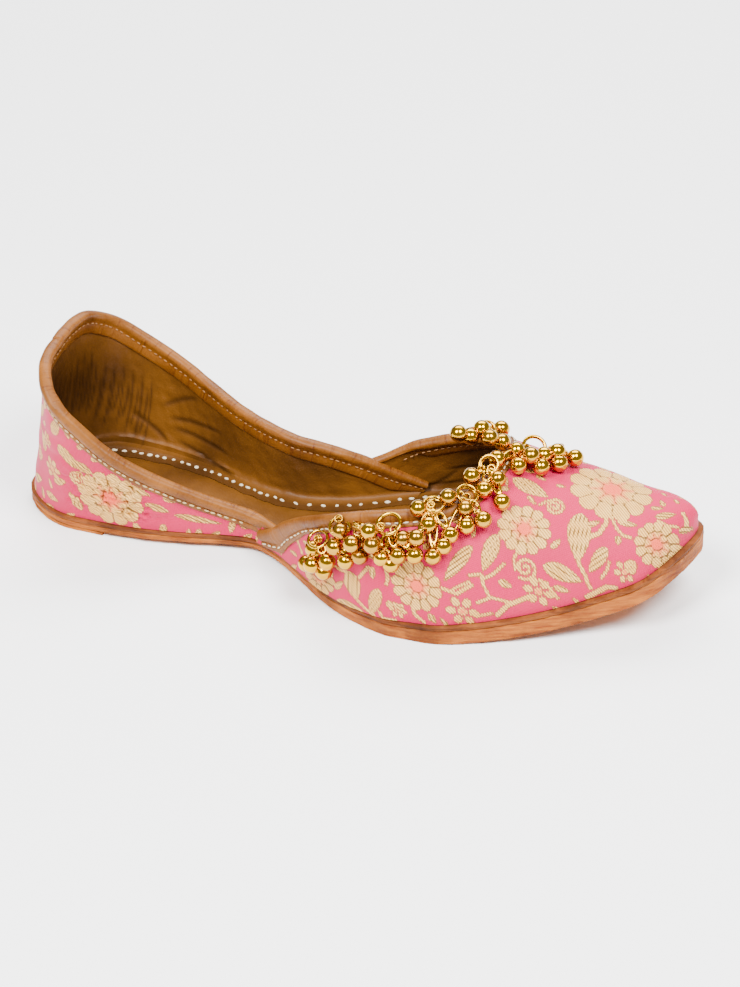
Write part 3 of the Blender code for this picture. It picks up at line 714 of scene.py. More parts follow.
# The folds of the lining: small ones side by side at the heel and along the vamp, and single deep ones
QUARTER_FOLDS = tuple(
    ((-50 + 1.9 * k, 12 + (k * 7) % 13), (-45 + 1.8 * k, 48 - (k * 5) % 9),
     0.40 + 0.12 * (k % 3), 0.9, 0.24 + 0.07 * (k % 2)) for k in range(27)
) + (
    ((-56, 30), (-88, 22), 0.9, 1.8, 0.45), ((-55, 27), (-84, 15), 0.8, 1.4, 0.40),
    ((-53, 24), (-72, 8), 0.8, 1.0, 0.35), ((-58, 33), (-92, 29), 0.8, 1.2, 0.40),
    ((-40, 34), (-58, 36), 1.1, 1.6, 0.45), ((-8, 50), (26, 46), 1.2, 2.0, 0.45),
)
VAMP_FOLDS = tuple(
    ((4 + 9.0 * k, 8 + (k * 7) % 17), (26 + 9.2 * k, 10 + (k * 5) % 17), 0.7, 1.4 - 0.9 * (k % 3), 0.34)
    for k in range(32))
# Flowers and leaves: middle, turn in degrees, sizes. Tendrils also say which way they turn.
ROSETTES = (
    ((194.6, -28.6), 5, 9), ((163.2, -59.5), 0, 8.8), ((239.5, -17.4), 8, 8.2), ((218.2, -0.2), 0, 15),
    ((124.6, -68), 0, 7.5), ((100, -44), 0, 7),
)
LEAVES = (
    ((212.6, -25), -81, 17.7, 8), ((209.7, -39.1), -2, 13.2, 5.6), ((220.3, -30), -113, 11.5, 4),
    ((192.4, -11.6), -17, 13.6, 6), ((175.8, -47.5), -116, 15.9, 4.2), ((185.4, -40.4), -100, 14, 5),
    ((139.7, -66.5), -73, 10.6, 6.5), ((148.3, -70), -106, 11.9, 4.6), ((138.4, -75.3), -3, 11.6, 3.8),
    ((216.3, -18.5), 42, 5.2, 2), ((227.4, -13.5), 9, 7.7, 2.2), ((225.6, -20.7), -78, 3.3, 2.2),
    ((240.1, -6.1), 23, 7.7, 3), ((205.8, -30.2), 60, 4.9, 2), ((111.8, -60), -134, 15, 3.4),
    ((133.8, -68.2), 52, 5.6, 2.2), ((147.3, -59.2), -81, 4.5, 2.4), ((191.9, -48.8), -9, 4.7, 2.6),
    ((194.3, -16.9), -40, 4.8, 1.6), ((154.1, -69.4), -70, 3.6, 2.4), ((157.6, -69.7), 4, 3.5, 3.4),
    ((169, -69.6), -48, 3.9, 2.6), ((209.9, -44.6), 3, 5.4, 2.2), ((247.7, -8.4), 52, 5.6, 1.6),
    ((178, -34), -70, 8, 3), ((108, -32), 40, 11, 4), ((120, -52), 20, 9, 3.4),
)
TENDRILS = (
    ((202, -16.9), 190, 3.4, 1), ((197.5, -41.5), 160, 3.9, -1), ((232.1, -27.4), 0, 2.2, 1),
    ((150.4, -78.6), 60, 3, 1), ((136, -56), 20, 3.2, 1),
)
SPRIGS = (
    ((178.8, -63.5), 10, 5.2), ((202.7, -48), 0, 4.8), ((229.8, -30.1), 20, 3.8), ((156.9, -70.5), 0, 3),
    ((166, -43), 0, 3.6), ((92, -62), 0, 4.2),
)
STEMS = (
    (((219.2, -12.8), (220.4, -16.2), (218.9, -21.3), (214.7, -25.1)), 1.5),
    (((220.8, -12.6), (224.2, -16.9), (226.7, -18.3), (229.8, -18.1)), 1.1),
    (((214, -33.3), (216.8, -36.7), (218.9, -40.5)), 1.3),
    (((141.3, -71.3), (144.8, -73.9), (148.2, -75.7)), 1.1),
    (((194.4, -35.9), (193.4, -39.6), (194.4, -42.9)), 1),
    (((197.3, -17.8), (198.9, -15.5), (201.3, -14.1)), 1),
    (((180, -50.3), (183.8, -48.5), (185, -51.7), (187.3, -55), (194, -54.7)), 1),
    (((184.5, -49.8), (187.6, -47), (190.6, -42.3)), 1),
    (((171.8, -57.3), (176.7, -57.7), (181.2, -53.2)), 1.2), (((175.3, -56.6), (180.3, -52.3)), 0.9),
    (((183.5, -58.6), (187.1, -55.5)), 1), (((189.9, -61), (193.2, -56), (200.3, -50.4)), 1.5),
    (((145.5, -57.6), (142.2, -62.5)), 1.2), (((151.7, -55.5), (153.1, -59), (152.7, -61.8)), 1.2),
    (((161.9, -66.6), (163, -70.3), (166.1, -72.1)), 1.3),
    (((150.3, -73.4), (151.5, -75.6), (156.2, -74.9)), 1.1),
    (((238, -8.9), (241.9, -9.9), (245.2, -9.1)), 0.9),
    (((245.9, -3.4), (247.7, -5.8), (247.7, -8.1)), 1.2), (((247.5, 4.2), (249.8, 1.4)), 1.2),
    (((183.1, -64), (188.1, -60.9)), 1), (((224.1, -28.9), (223.7, -31.9), (222.2, -35.3)), 0.9),
    (((202.7, -43.9), (206.2, -45.6), (208.8, -48.3)), 1.2),
    (((218, -44.5), (224.1, -37.7), (227, -36.9)), 1.6), (((104, -50), (112, -56), (116, -64)), 1.2),
    (((128, -60), (134, -62), (139, -62)), 1.1),
)
QUARTER_ROSETTES = (
    ((50.4, 12.4), 15, 12.5), ((2, 33), 0, 9), ((-46, 26), 10, 9), ((-86, 14), 0, 8.5),
    ((-118, 16), 0, 8), ((8, 52), 0, 5),
)
QUARTER_LEAVES = (
    ((32.2, 40.7), 62, 10, 4.2), ((35.7, 28.6), -52, 11, 5), ((13.1, 7.5), 25, 9, 3.6),
    ((24.3, 5.3), -10, 7, 3), ((67.7, 10.4), -20, 9, 3.2), ((82, 6.2), -9, 17, 2.6),
    ((41, 25.5), 150, 9, 3.6), ((36, 8), 115, 9, 3.8), ((62, 18), -30, 9, 3.2), ((26, 48), 60, 9, 3.6),
    ((20, 28), 100, 9, 3.6), ((30, 15), 20, 7, 3), ((11, 44), 100, 9, 3.8), ((18, 40), 40, 11, 4.4),
    ((-14, 42), -30, 11, 4.6), ((-24, 20), 60, 12, 5), ((-34, 40), -70, 11, 4.4), ((-64, 30), 30, 12, 5),
    ((-66, 14), -60, 12, 5), ((-102, 26), 40, 11, 4.4), ((-102, 10), -30, 10, 4), ((-8, 14), 80, 12, 4.6),
)
QUARTER_TENDRILS = (
    ((38.6, 20), 0, 3, 1), ((14, 20), 90, 3.4, 1), ((-18, 31), 0, 3.4, -1), ((-76, 24), 40, 3.4, 1),
    ((-52, 40), 0, 3, 1),
)
QUARTER_SPRIGS = (
    ((26.5, 19.4), 0, 4.4), ((24, 30.5), 0, 3.2), ((4, 14), 0, 4), ((-34, 8), 0, 4.4),
    ((-80, 34), 0, 3.8),
)

# Kinds of figures, in the order in which they are woven over one another
VAMP_FIGURES = ((strand, STEMS), (leaf, LEAVES), (tendril, TENDRILS), (sprig, SPRIGS), (rosette, ROSETTES))
QUARTER_FIGURES = ((rosette, QUARTER_ROSETTES), (leaf, QUARTER_LEAVES), (tendril, QUARTER_TENDRILS),
                   (sprig, QUARTER_SPRIGS))


def weave(cloth, u, v, figures):
    """Weave the figures in, kind after kind. Each row says where one lies and how large it is."""
    for figure, rows in figures:
        for row in rows:
            figure(cloth, u, v, *row)


def creased(depth, u, v, creases):
    for start, end, width, bend, deep in creases:
        depth = depth - trough(u, v, start, end, width, bend) * deep * MM
    return depth


def shift(points, normals, depth):
    return points + normals * depth[..., None]


# Vamp

VAMP_HOLD, QUARTER_HOLD = 0.12, 0.05        # the cloth lies flat below these angles, at the sole
FAR_START, FAR_SHIFT = 14.0, 3.0            # in mm: where the turned figures start, and how far they move

side, station = vamp_columns()
angles = throat_angle(side, station)[:, None] * np.linspace(0, 1, 84)[None, :]
sides, stations = side[:, None], station[:, None]
proud = wing_proud(stations)
vamp_points = skin(sides, stations, angles, proud)
vamp_normals = skin_normal(sides, np.broadcast_to(stations, angles.shape), angles, proud)
u = np.broadcast_to(stations * LENGTH / MM, angles.shape)
v = across_the_skin(side, station, angles, proud, True) * sides
depth = creased(ripple(u, v, 34.0, 3) * 0.18 * MM, u, v, VAMP_CREASES)
vamp_points = shift(vamp_points, vamp_normals, depth * np.clip(angles / VAMP_HOLD, 0, 1))
cloth = blank(u)
# the far side carries the near side's figures, turned over
for across, seen in ((v, np.ones(v.shape, dtype=bool)), (-v - FAR_SHIFT, v > FAR_START)):
    woven = blank(u)
    weave(woven, u, across, VAMP_FIGURES)
    for key, value in woven.items():
        cloth[key] = np.where(seen, value, cloth[key])
fill_in(cloth, u, v, seed=61, spacing=6.0, length=4.2, width=1.7)
vamp = sheet("vamp_brocade", vamp_points, BROCADE, np.stack([u, v], -1), cloth, facing=vamp_normals)
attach(vamp, "root")
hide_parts("upper")

# Quarter, which runs on inside the wings

side, station = quarter_columns(NEAR_TAIL_END, FAR_TAIL_END)
angles = angle_at(station, topline(side, station))[:, None] * np.linspace(0, 1, 72)[None, :]
sides, stations = side[:, None], station[:, None]
quarter_points = skin(sides, stations, angles)
quarter_normals = skin_normal(sides, np.broadcast_to(stations, angles.shape), angles)
u = np.broadcast_to(from_the_heel(side, station)[:, None], angles.shape)
v = across_the_skin(side, station, angles, 0.0, False)
depth = creased(ripple(u, v, 16.0, 5) * 0.22 * MM, u, v, QUARTER_CREASES)
# the big flower's cloth is puckered all over
pucker = np.exp(-((u - 50.0) / 17.0) ** 4 - ((v - 12.0) / 13.0) ** 4)
depth = depth + pucker * (0.35 - np.abs(ripple(u, v, 5.0, 6))) * 1.3 * MM
quarter_points = shift(quarter_points, quarter_normals, depth * np.clip(angles / QUARTER_HOLD, 0, 1))
cloth = blank(u)
weave(cloth, u, v, QUARTER_FIGURES)
fill_in(cloth, u, v, seed=62, spacing=5.0, length=5.4, width=2.3)
quarter = sheet("quarter_brocade", quarter_points, BROCADE, np.stack([u, v], -1), cloth,
                facing=quarter_normals)
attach(quarter, "root")
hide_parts("upper")

# Lining and the margin turned in under the foot

MARGIN_START = 0.0045       # where the cove meets the flat of the margin
MARGIN_FRAY = 0.0009        # how far the cut edge reaches past the solid's
COVE_ROWS, MARGIN_ROWS = 9, 7


def hump(row, middle, width):
    return np.exp(-((row - middle) / width) ** 2)


def lining(name, side, station, top, proud, creases, cove, rows=46):
    """Lining of the wall, coved over onto the margin, whose cut edge is frayed."""
    sides, stations = side[:, None], station[:, None]
    low = angle_at(station, np.minimum(cove, topline(side, station) * 0.5 + 0.002))
    angles = top[:, None] + (np.minimum(low, top * 0.8) - top)[:, None] * np.linspace(0, 1, rows)[None, :]
    normals = skin_normal(sides, np.broadcast_to(stations, angles.shape), angles, proud)
    wall = skin(sides, stations, angles, proud) - normals * WALL
    u = from_the_heel(side, station)
    # the margin, flat on the sole, from the cove to its frayed edge
    floor = feather(station) + WALL
    flat = np.stack([*outline(side, station, ledge(station) + WALL + np.minimum(cove, MARGIN_START)), floor],
                    axis=-1)
    fray = (ripple(u, 0.0, 9.0, 8) * 0.35 + ripple(u, 0.0, 2.6, 9) * 0.22) * MM
    end = np.stack([*outline(side, station, ledge(station) + FLANGE + MARGIN_FRAY + fray), floor - 0.1 * MM],
                   axis=-1)
    # the cove, a curve that leaves the wall and meets the margin along their own ways
    start = wall[:, -1]
    handle = np.linalg.norm(flat - start, axis=-1)[:, None] * 0.45
    a, b = start + unit(start - wall[:, -2]) * handle, flat - unit(end - flat) * handle
    rowset = [wall]
    for t in np.linspace(0, 1, COVE_ROWS + 1)[1:]:
        curve = (1 - t) ** 3 * start + 3 * (1 - t) ** 2 * t * a + 3 * (1 - t) * t * t * b + t ** 3 * flat
        rowset.append(curve[:, None])
    for t in np.linspace(0, 1, MARGIN_ROWS + 1)[1:]:
        rowset.append((flat + (end - flat) * t)[:, None])
    under = end.copy()
    under[:, 2] = feather(station) + INSOLE * 0.6
    rowset.append(under[:, None])
    points = np.concatenate(rowset, axis=1)
    u = np.broadcast_to(u[:, None], points.shape[:2])
    lengths = run_along(points, axis=1) / MM
    upwards = unit(-normals[:, -1:] + np.array([0, 0, 1.0]))
    inward = np.concatenate([-normals, np.repeat(upwards, points.shape[1] - rows, axis=1)], axis=1)
    # the first mask marks the folds' troughs, which are darkened with painted shade
    painted_fold_shade, deep = np.zeros(u.shape), np.zeros(u.shape)
    for first, last, width, bend, depth in creases:
        here = trough(u, lengths, first, last, width, bend)
        painted_fold_shade = np.maximum(painted_fold_shade, here)
        deep = deep - here * depth
    deep = deep + ripple(u, lengths, 7.0, 11) * 0.10 + ripple(u, lengths, 2.4, 12) * 0.03
    # folds where the wall turns under at the heel
    row = np.arange(points.shape[1])[None, :] - rows
    ridges = 0.80 * hump(row, 1.0, 1.1) - 0.35 * hump(row, 3.2, 1.0) + 0.65 * hump(row, 5.4, 1.1)
    at_heel = np.clip((0.34 - station) / 0.12, 0, 1)[:, None]
    deep = deep + ridges * at_heel * (1 + 0.35 * ripple(u, 0.0, 14.0, 14))
    points = shift(points, inward, deep * np.clip(lengths / 3.0, 0, 1) * MM)
    # full painted shade on the cut edge's face, which turns down under the margin
    painted_fold_shade[:, -1] = 1.0
    # painted shade inside the shoe: darker towards the heel's middle and deeper down, and on the margin
    stain_and_painted_shade = np.clip(1 - np.abs(u) / 26.0, 0, 1) * np.clip(lengths / 25.0, 0, 1) * 0.75
    stain_and_painted_shade = np.maximum(stain_and_painted_shade, np.clip((row - 4) / 5.0, 0, 1) * 0.55)
    made = sheet(name, points, LINING, np.stack([u, lengths], -1), {"painted_fold_shade": painted_fold_shade, "stain_and_painted_shade": stain_and_painted_shade},
                 facing=inward)
    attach(made, "root")
    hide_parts("upper")
    return made


LINING_SHORT = 0.01       # the quarter's lining ends this much sooner than its cloth, in stations
VAMP_COVE = 0.0040        # height at which the lining leaves the wall. At the heel it is more.

side, station = quarter_columns(NEAR_TAIL_END - LINING_SHORT, FAR_TAIL_END - LINING_SHORT, 0.0024)
cove = np.interp(station, (0.0, 0.08, 0.20, 1.0), (0.0075, 0.0070, 0.0045, VAMP_COVE))
lining("quarter_lining", side, station, angle_at(station, topline(side, station)), 0.0, QUARTER_FOLDS, cove)
side, station = vamp_columns(0.7)
keep = (station > 0.43) & (station < 0.985)      # clear of the quarter's lining and of the closed tip
side, station = side[keep], station[keep]
lining("vamp_lining", side, station, throat_angle(side, station), wing_proud(station)[:, None], VAMP_FOLDS,
       np.full(station.shape, VAMP_COVE), 50)


# Edgings of folded leather

class EdgeLine:
    """The edge of the upper, with the way off it along the skin."""

    def __init__(self, side, station, angle, proud):
        self.side, self.station, self.angle, self.proud = side, station, angle, proud
        points = skin(side, station, angle, proud)
        self.points = points
        ahead = np.concatenate([points[1:], points[-1:]]) - np.concatenate([points[:1], points[:-1]])
        self.normal = skin_normal(side, station, angle, proud)
        self.off = unit(np.cross(unit(ahead), self.normal))
        step = 0.003
        way = np.where(station < 0.9, 1.0, -1.0)
        # how a point moves as its station and its angle grow
        self.by_station = (skin(side, station + way * step, angle, proud) - points) / (way * step)[:, None]
        self.by_angle = (points - skin(side, station, angle - step, proud)) / step
        self.length = run_along(points)

    def at(self, depth, offset):
        """Points at a depth from the edge along the skin, raised off the skin by an offset."""
        depth = np.broadcast_to(np.asarray(depth, dtype=float), self.station.shape)
        offset = np.broadcast_to(np.asarray(offset, dtype=float), self.station.shape)
        below = np.maximum(depth, 0.0)
        way = self.off * below[:, None]
        aa = (self.by_station ** 2).sum(-1)
        ab = (self.by_station * self.by_angle).sum(-1)
        bb = (self.by_angle ** 2).sum(-1)
        wa, wb = (way * self.by_station).sum(-1), (way * self.by_angle).sum(-1)
        scale = aa * bb - ab * ab
        station = np.maximum(self.station + (wa * bb - wb * ab) / scale, 0.0)
        angle = self.angle + (wb * aa - wa * ab) / scale
        over = angle > RIGHT_ANGLE
        side = np.where(over, -self.side, self.side)
        angle = np.maximum(np.where(over, math.pi - angle, angle), 0.0)
        points = skin(side, station, angle, self.proud)
        normals = skin_normal(side, station, angle, self.proud)
        return points + normals * offset[:, None] + self.off * np.minimum(depth, 0.0)[:, None]


# Stations where the quarter's edging ends, under the wings
NEAR_EDGE_END, FAR_EDGE_END = 0.415, 0.572


def quarter_line():
    round_heel = crowded(0.0, HEEL_ROUND, 40)
    far = np.concatenate([round_heel, np.linspace(HEEL_ROUND, FAR_EDGE_END, 130)[1:]])
    near = np.concatenate([round_heel, np.linspace(HEEL_ROUND, NEAR_EDGE_END, 88)[1:]])
    side = np.concatenate([np.full(len(far), FAR), np.full(len(near) - 1, NEAR)])
    station = np.concatenate([far[::-1], near[1:]])
    return EdgeLine(side, station, angle_at(station, topline(side, station)), np.zeros(len(side)))


def throat_line():
    stations = crowded(THROAT_END, THROAT_START, 160)[:-2]
    side = np.concatenate([np.full(len(stations), NEAR), np.full(len(stations) - 1, FAR)])
    station = np.concatenate([stations[::-1], stations[1:]])
    return EdgeLine(side, station, throat_angle(side, station), wing_proud(station))


# Profile of the edging: how far across its band, and how far off the skin in mm. The thread pulls a
# groove into it.
OUTSIDE_PROFILE = ((1.0, -0.1), (1.0, 0.30), (0.97, 0.48), (0.86, 0.60), (0.72, 0.58), (0.60, 0.22),
                   (0.50, 0.80), (0.30, 1.20), (0.05, 1.30))
INSIDE_PROFILE = ((0.05, 1.2), (0.22, 1.1), (0.36, 0.40), (0.50, 0.62), (0.92, 0.60), (0.98, 0.42),
                  (1.0, 0.1))
ROLL_ROWS, ROLL_RISE, ROLL_THICKNESS = 11, 1.35, 1.15


def edging(name, line, outside, inside, wall, node, pressed=1.0):
    """Leather strip folded over an edge: a skived band outside, a round roll, a band inside.
    Where it runs on under another piece, its outside is pressed flat. Its sizes are in mm."""
    length = line.length / MM
    swell = 1 + 0.12 * ripple(length, 0.0, 13.0, 21)
    wave = ripple(length, 0.0, 17.0, 22) * 0.20
    rows = []
    for share, offset in OUTSIDE_PROFILE:
        depth = (outside + wave * (share > 0.9)) * share
        rows.append(line.at(depth * MM, offset * swell * pressed * MM))
    half = wall / 2
    for turn in np.linspace(0, math.pi, ROLL_ROWS):
        outer = pressed if turn < math.pi / 2 else 1.0
        offset = -half + (half + ROLL_THICKNESS * swell * outer) * np.cos(turn)
        rows.append(line.at(-ROLL_RISE * np.sin(turn) * MM, offset * MM))
    for share, offset in INSIDE_PROFILE:
        rows.append(line.at(inside * share * MM, (-wall - offset) * MM))
    points = np.stack(rows, axis=1)
    uv = np.stack(np.broadcast_arrays(length[:, None], np.arange(len(rows), dtype=float)), -1)
    facing = np.zeros(points.shape)
    facing[:, :len(OUTSIDE_PROFILE)] = line.normal[:, None]
    made = sheet(name, points, EDGING, uv, facing=facing, smooth=60)
    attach(made, "root")
    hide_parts(node)
    return made


def stitches(name, line, depth, offset, pitch, size, material, node, start=0.0, end=None):
    """Row of thread stitches along an edge, each a little off its place, its turn and its length."""
    points = line.at(depth, offset)
    low = line.at(np.asarray(depth) + MM, offset)
    length = run_along(points)
    end = length[-1] if end is None else end
    places = []
    rng = np.random.default_rng(31)
    for where in np.arange(start + pitch / 2, end, pitch):
        where = where + rng.uniform(-0.12, 0.12) * pitch
        here, beyond, below = (Vector([np.interp(at, length, row[:, i]) for i in range(3)])
                               for at, row in ((where, points), (where + 0.5 * MM, points), (where, low)))
        ahead, down = (beyond - here).normalized(), (below - here).normalized()
        up = ahead.cross(down)
        index = min(int(np.searchsorted(length, where)), len(length) - 1)
        if up.dot(Vector(line.normal[index])) * (1 if offset > 0 else -1) < 0:
            up = -up
        turn = ahead + down * rng.uniform(-0.15, 0.15)
        long = size[0] * rng.uniform(0.85, 1.12)
        places.append((STITCH, placed(here, turn, up, (long, *size[1:])), 0.0))
    made = copies(name, places, material)
    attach(made, "root")
    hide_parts(node)
    return made


clear_selection()
bpy.ops.mesh.primitive_uv_sphere_add(segments=8, ring_count=6, radius=0.5)
STITCH = bpy.context.object
STITCH.name = "stitch_template"
bpy.ops.object.mode_set(mode="EDIT")
bpy.ops.mesh.select_all(action="SELECT")
bpy.ops.transform.rotate(value=math.pi / 2, orient_axis="Y", center_override=(0.0, 0.0, 0.0))
bpy.ops.object.mode_set(mode="OBJECT")

# Bands of the edgings, in mm, and their seams: how far across the band
OUTER_BAND, QUARTER_INNER_BAND, THROAT_INNER_BAND = 5.0, 6.8, 6.2
OUTER_SEAM, INNER_SEAM = 0.70, 0.42
NEAR_UNDER_WING, FAR_UNDER_WING = 0.368, 0.497      # from these stations on the wings lie over it
# Stitches, in metres: pitch, and length, width and thickness
GILT_PITCH, GILT_STITCH = 0.0026, (0.0018, 0.0007, 0.0006)
WHITE_PITCH, WHITE_STITCH = 0.0030, (0.0020, 0.0006, 0.0005)
INNER_PITCH, INNER_STITCH = 0.0024, (0.0014, 0.0005, 0.0005)
INNER_OFFSET = -WALL - 0.0007

line = quarter_line()
height = topline(line.side, line.station) / MM
quarter_band = np.minimum(OUTER_BAND, 0.6 * height)
inner_band = np.minimum(QUARTER_INNER_BAND, 0.62 * height)
wing_start = np.where(line.side < 0, NEAR_UNDER_WING, FAR_UNDER_WING)
under_wing = np.clip((line.station - wing_start) / 0.018, 0.0, 1.0)
edging("quarter_edging", line, quarter_band, inner_band, WALL / MM, "quarter_binding", 1.0 - 0.9 * under_wing)
shown = line.length[under_wing < 0.3]
stitches("quarter_outer_stitches", line, quarter_band * OUTER_SEAM * MM, 0.0006, GILT_PITCH, GILT_STITCH,
         GILT_THREAD, "quarter_binding", start=shown[0], end=shown[-1])
stitches("quarter_inner_stitches", line, inner_band * INNER_SEAM * MM, INNER_OFFSET, INNER_PITCH,
         INNER_STITCH, TAN_THREAD, "quarter_binding")

line = throat_line()
rise = (line.points[:, 2] - feather(line.station)) / MM
# the inner band fades out where the wing comes to lie over the quarter
crossing = np.where(line.side < 0, 0.43, 0.53)
free = np.clip((line.station - crossing) / 0.05, 0.0, 1.0)
free = free * free * (3 - 2 * free)
# and the outer one widens towards the sole
to_sole = np.clip((0.47 - line.station) / 0.085, 0.0, 1.0)
reach = np.where(line.side < 0, 0.97, 0.6 + 0.37 * to_sole) * rise
throat_band = np.minimum(OUTER_BAND + 4.6 * to_sole, reach)
thin_wall = 1.25      # what the edging folds round where the wing is one layer less
edging("throat_edging", line, throat_band, THROAT_INNER_BAND * free + 0.01,
       thin_wall + free * (WALL / MM - thin_wall), "vamp_binding")
stitches("throat_outer_stitches", line, throat_band * 0.72 * MM, 0.0008, WHITE_PITCH, WHITE_STITCH,
         WHITE_COTTON, "vamp_binding")
near_run = slice(0, 150)
stitches("throat_inner_stitches", line, 2.9 * MM, INNER_OFFSET, INNER_PITCH, INNER_STITCH, TAN_THREAD,
         "vamp_binding", start=np.interp(0.50, line.station[near_run], line.length[near_run]),
         end=line.length[-1] - 0.045)

# White stitches that hold the margin down

side, station = quarter_columns(0.985, 0.985)
seam = np.stack([*outline(side, station, ledge(station) + FLANGE - 2.4 * MM),
                 feather(station) + WALL + 0.1 * MM], axis=-1)
walk = run_along(seam[:, :2])
rng = np.random.default_rng(52)
places, where = [], 0.002
while where < walk[-1]:
    here, beyond = (Vector([np.interp(at, walk, seam[:, i]) for i in range(3)]) for at in (where, where + MM))
    ahead = (beyond - here).normalized()
    sideways = Vector((-ahead.y, ahead.x, 0.0))
    here += sideways * rng.uniform(-0.4, 0.4) * MM
    turn = ahead + sideways * rng.uniform(-0.5, 0.5)
    size = (0.0018 * rng.uniform(0.7, 1.25), 0.0013 * rng.uniform(0.7, 1.25), 0.0009)
    places.append((STITCH, placed(here, turn, (0.0, 0.0, 1.0), size), 0.0))
    # the stitches stand closer round the heel
    pitch = 0.0034 if 0.10 < np.interp(where, walk, station) < 0.40 else 0.0048
    where += pitch * rng.uniform(0.85, 1.15)
margin_thread = copies("margin_stitches", places, WHITE_COTTON)
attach(margin_thread, "root")
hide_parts("upper")


# Sole

def around():
    """Once round the sole's outline."""
    heel, toe = crowded(0.0, HEEL_ROUND, 36), 1 - crowded(0.0, TOE_ROUND, 36)
    half = np.concatenate([heel, np.linspace(HEEL_ROUND, 1 - TOE_ROUND, 190)[1:-1], toe[::-1]])
    return columns_of(half, half[::-1][1:])


# How far in from the edge the flat faces have rows: near it, and past the foot's middle line
FLAT_REACH, MIDDLE_REACH = 0.004, 0.060


def sole_layer(name, bottom, top, material, node, seed, rough, end=None, inset=0.0, rows=9):
    """Layer of leather: flat below and above, with a cut edge that is a little uneven."""
    side, station = around()
    if end is not None:
        station = np.minimum(station, end)
    u = run_along(np.stack(outline(side, station), -1)) / MM
    low, high = bottom(station), top(station)
    bevel = np.minimum(0.0004, (high - low) * 0.3)
    fade = np.minimum(1.0, np.minimum(u, u[-1] - u) / 4.0)
    rowset = []

    def row(inwards, z):
        x, y = outline(side, station, inset + inwards)
        rowset.append(np.stack([x, y, z], axis=-1))

    for inwards in (MIDDLE_REACH, FLAT_REACH, bevel):
        row(inwards, low)
    for share in np.linspace(0, 1, rows):
        wobble = ripple(u, share * 3.0, 11.0, seed) * 0.6 + ripple(u, share * 2.0, 3.5, seed + 1) * 0.4
        row(np.maximum(0.0, wobble * rough * fade + rough * 0.5) * MM,
            low + bevel * 0.6 + (high - low - bevel * 1.2) * share)
    for inwards in (bevel * 1.3, FLAT_REACH, MIDDLE_REACH):
        row(inwards, high)
    points = np.stack(rowset, axis=1)
    facing = np.zeros(points.shape)
    facing[:, 3:3 + rows, 1] = side[:, None]        # the rows of the cut edge
    made = sheet(name, points, material, facing=facing, smooth=45)
    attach(made, "root")
    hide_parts(node)
    return made


def ground(station):
    return np.zeros(station.shape)


def outsole_top(station):
    return midsole_top(station) - MIDSOLE - CLEARANCE


sole_layer("cut_outsole", underside, outsole_top, SOLE_LEATHER, "outsole", 41, 0.35)
sole_layer("dark_midsole", lambda s: outsole_top(s) + CLEARANCE * 0.3, midsole_top, MIDSOLE_LEATHER,
           "midsole", 43, 0.25, rows=5)
sole_layer("heel_piece", ground, lambda s: ground(s) + HEEL_LIFT, SOLE_LEATHER,
           "heel_lift", 45, 0.2, end=HEEL_LIFT_LENGTH / LENGTH, rows=4)
sole_layer("brown_insole", feather, lambda s: feather(s) + INSOLE, INSOLE_LEATHER,
           "insole", 47, 0.1, inset=ledge(around()[1]) + FLANGE + CLEARANCE, rows=4)


# Bells on their rings, sewn below the throat's edging

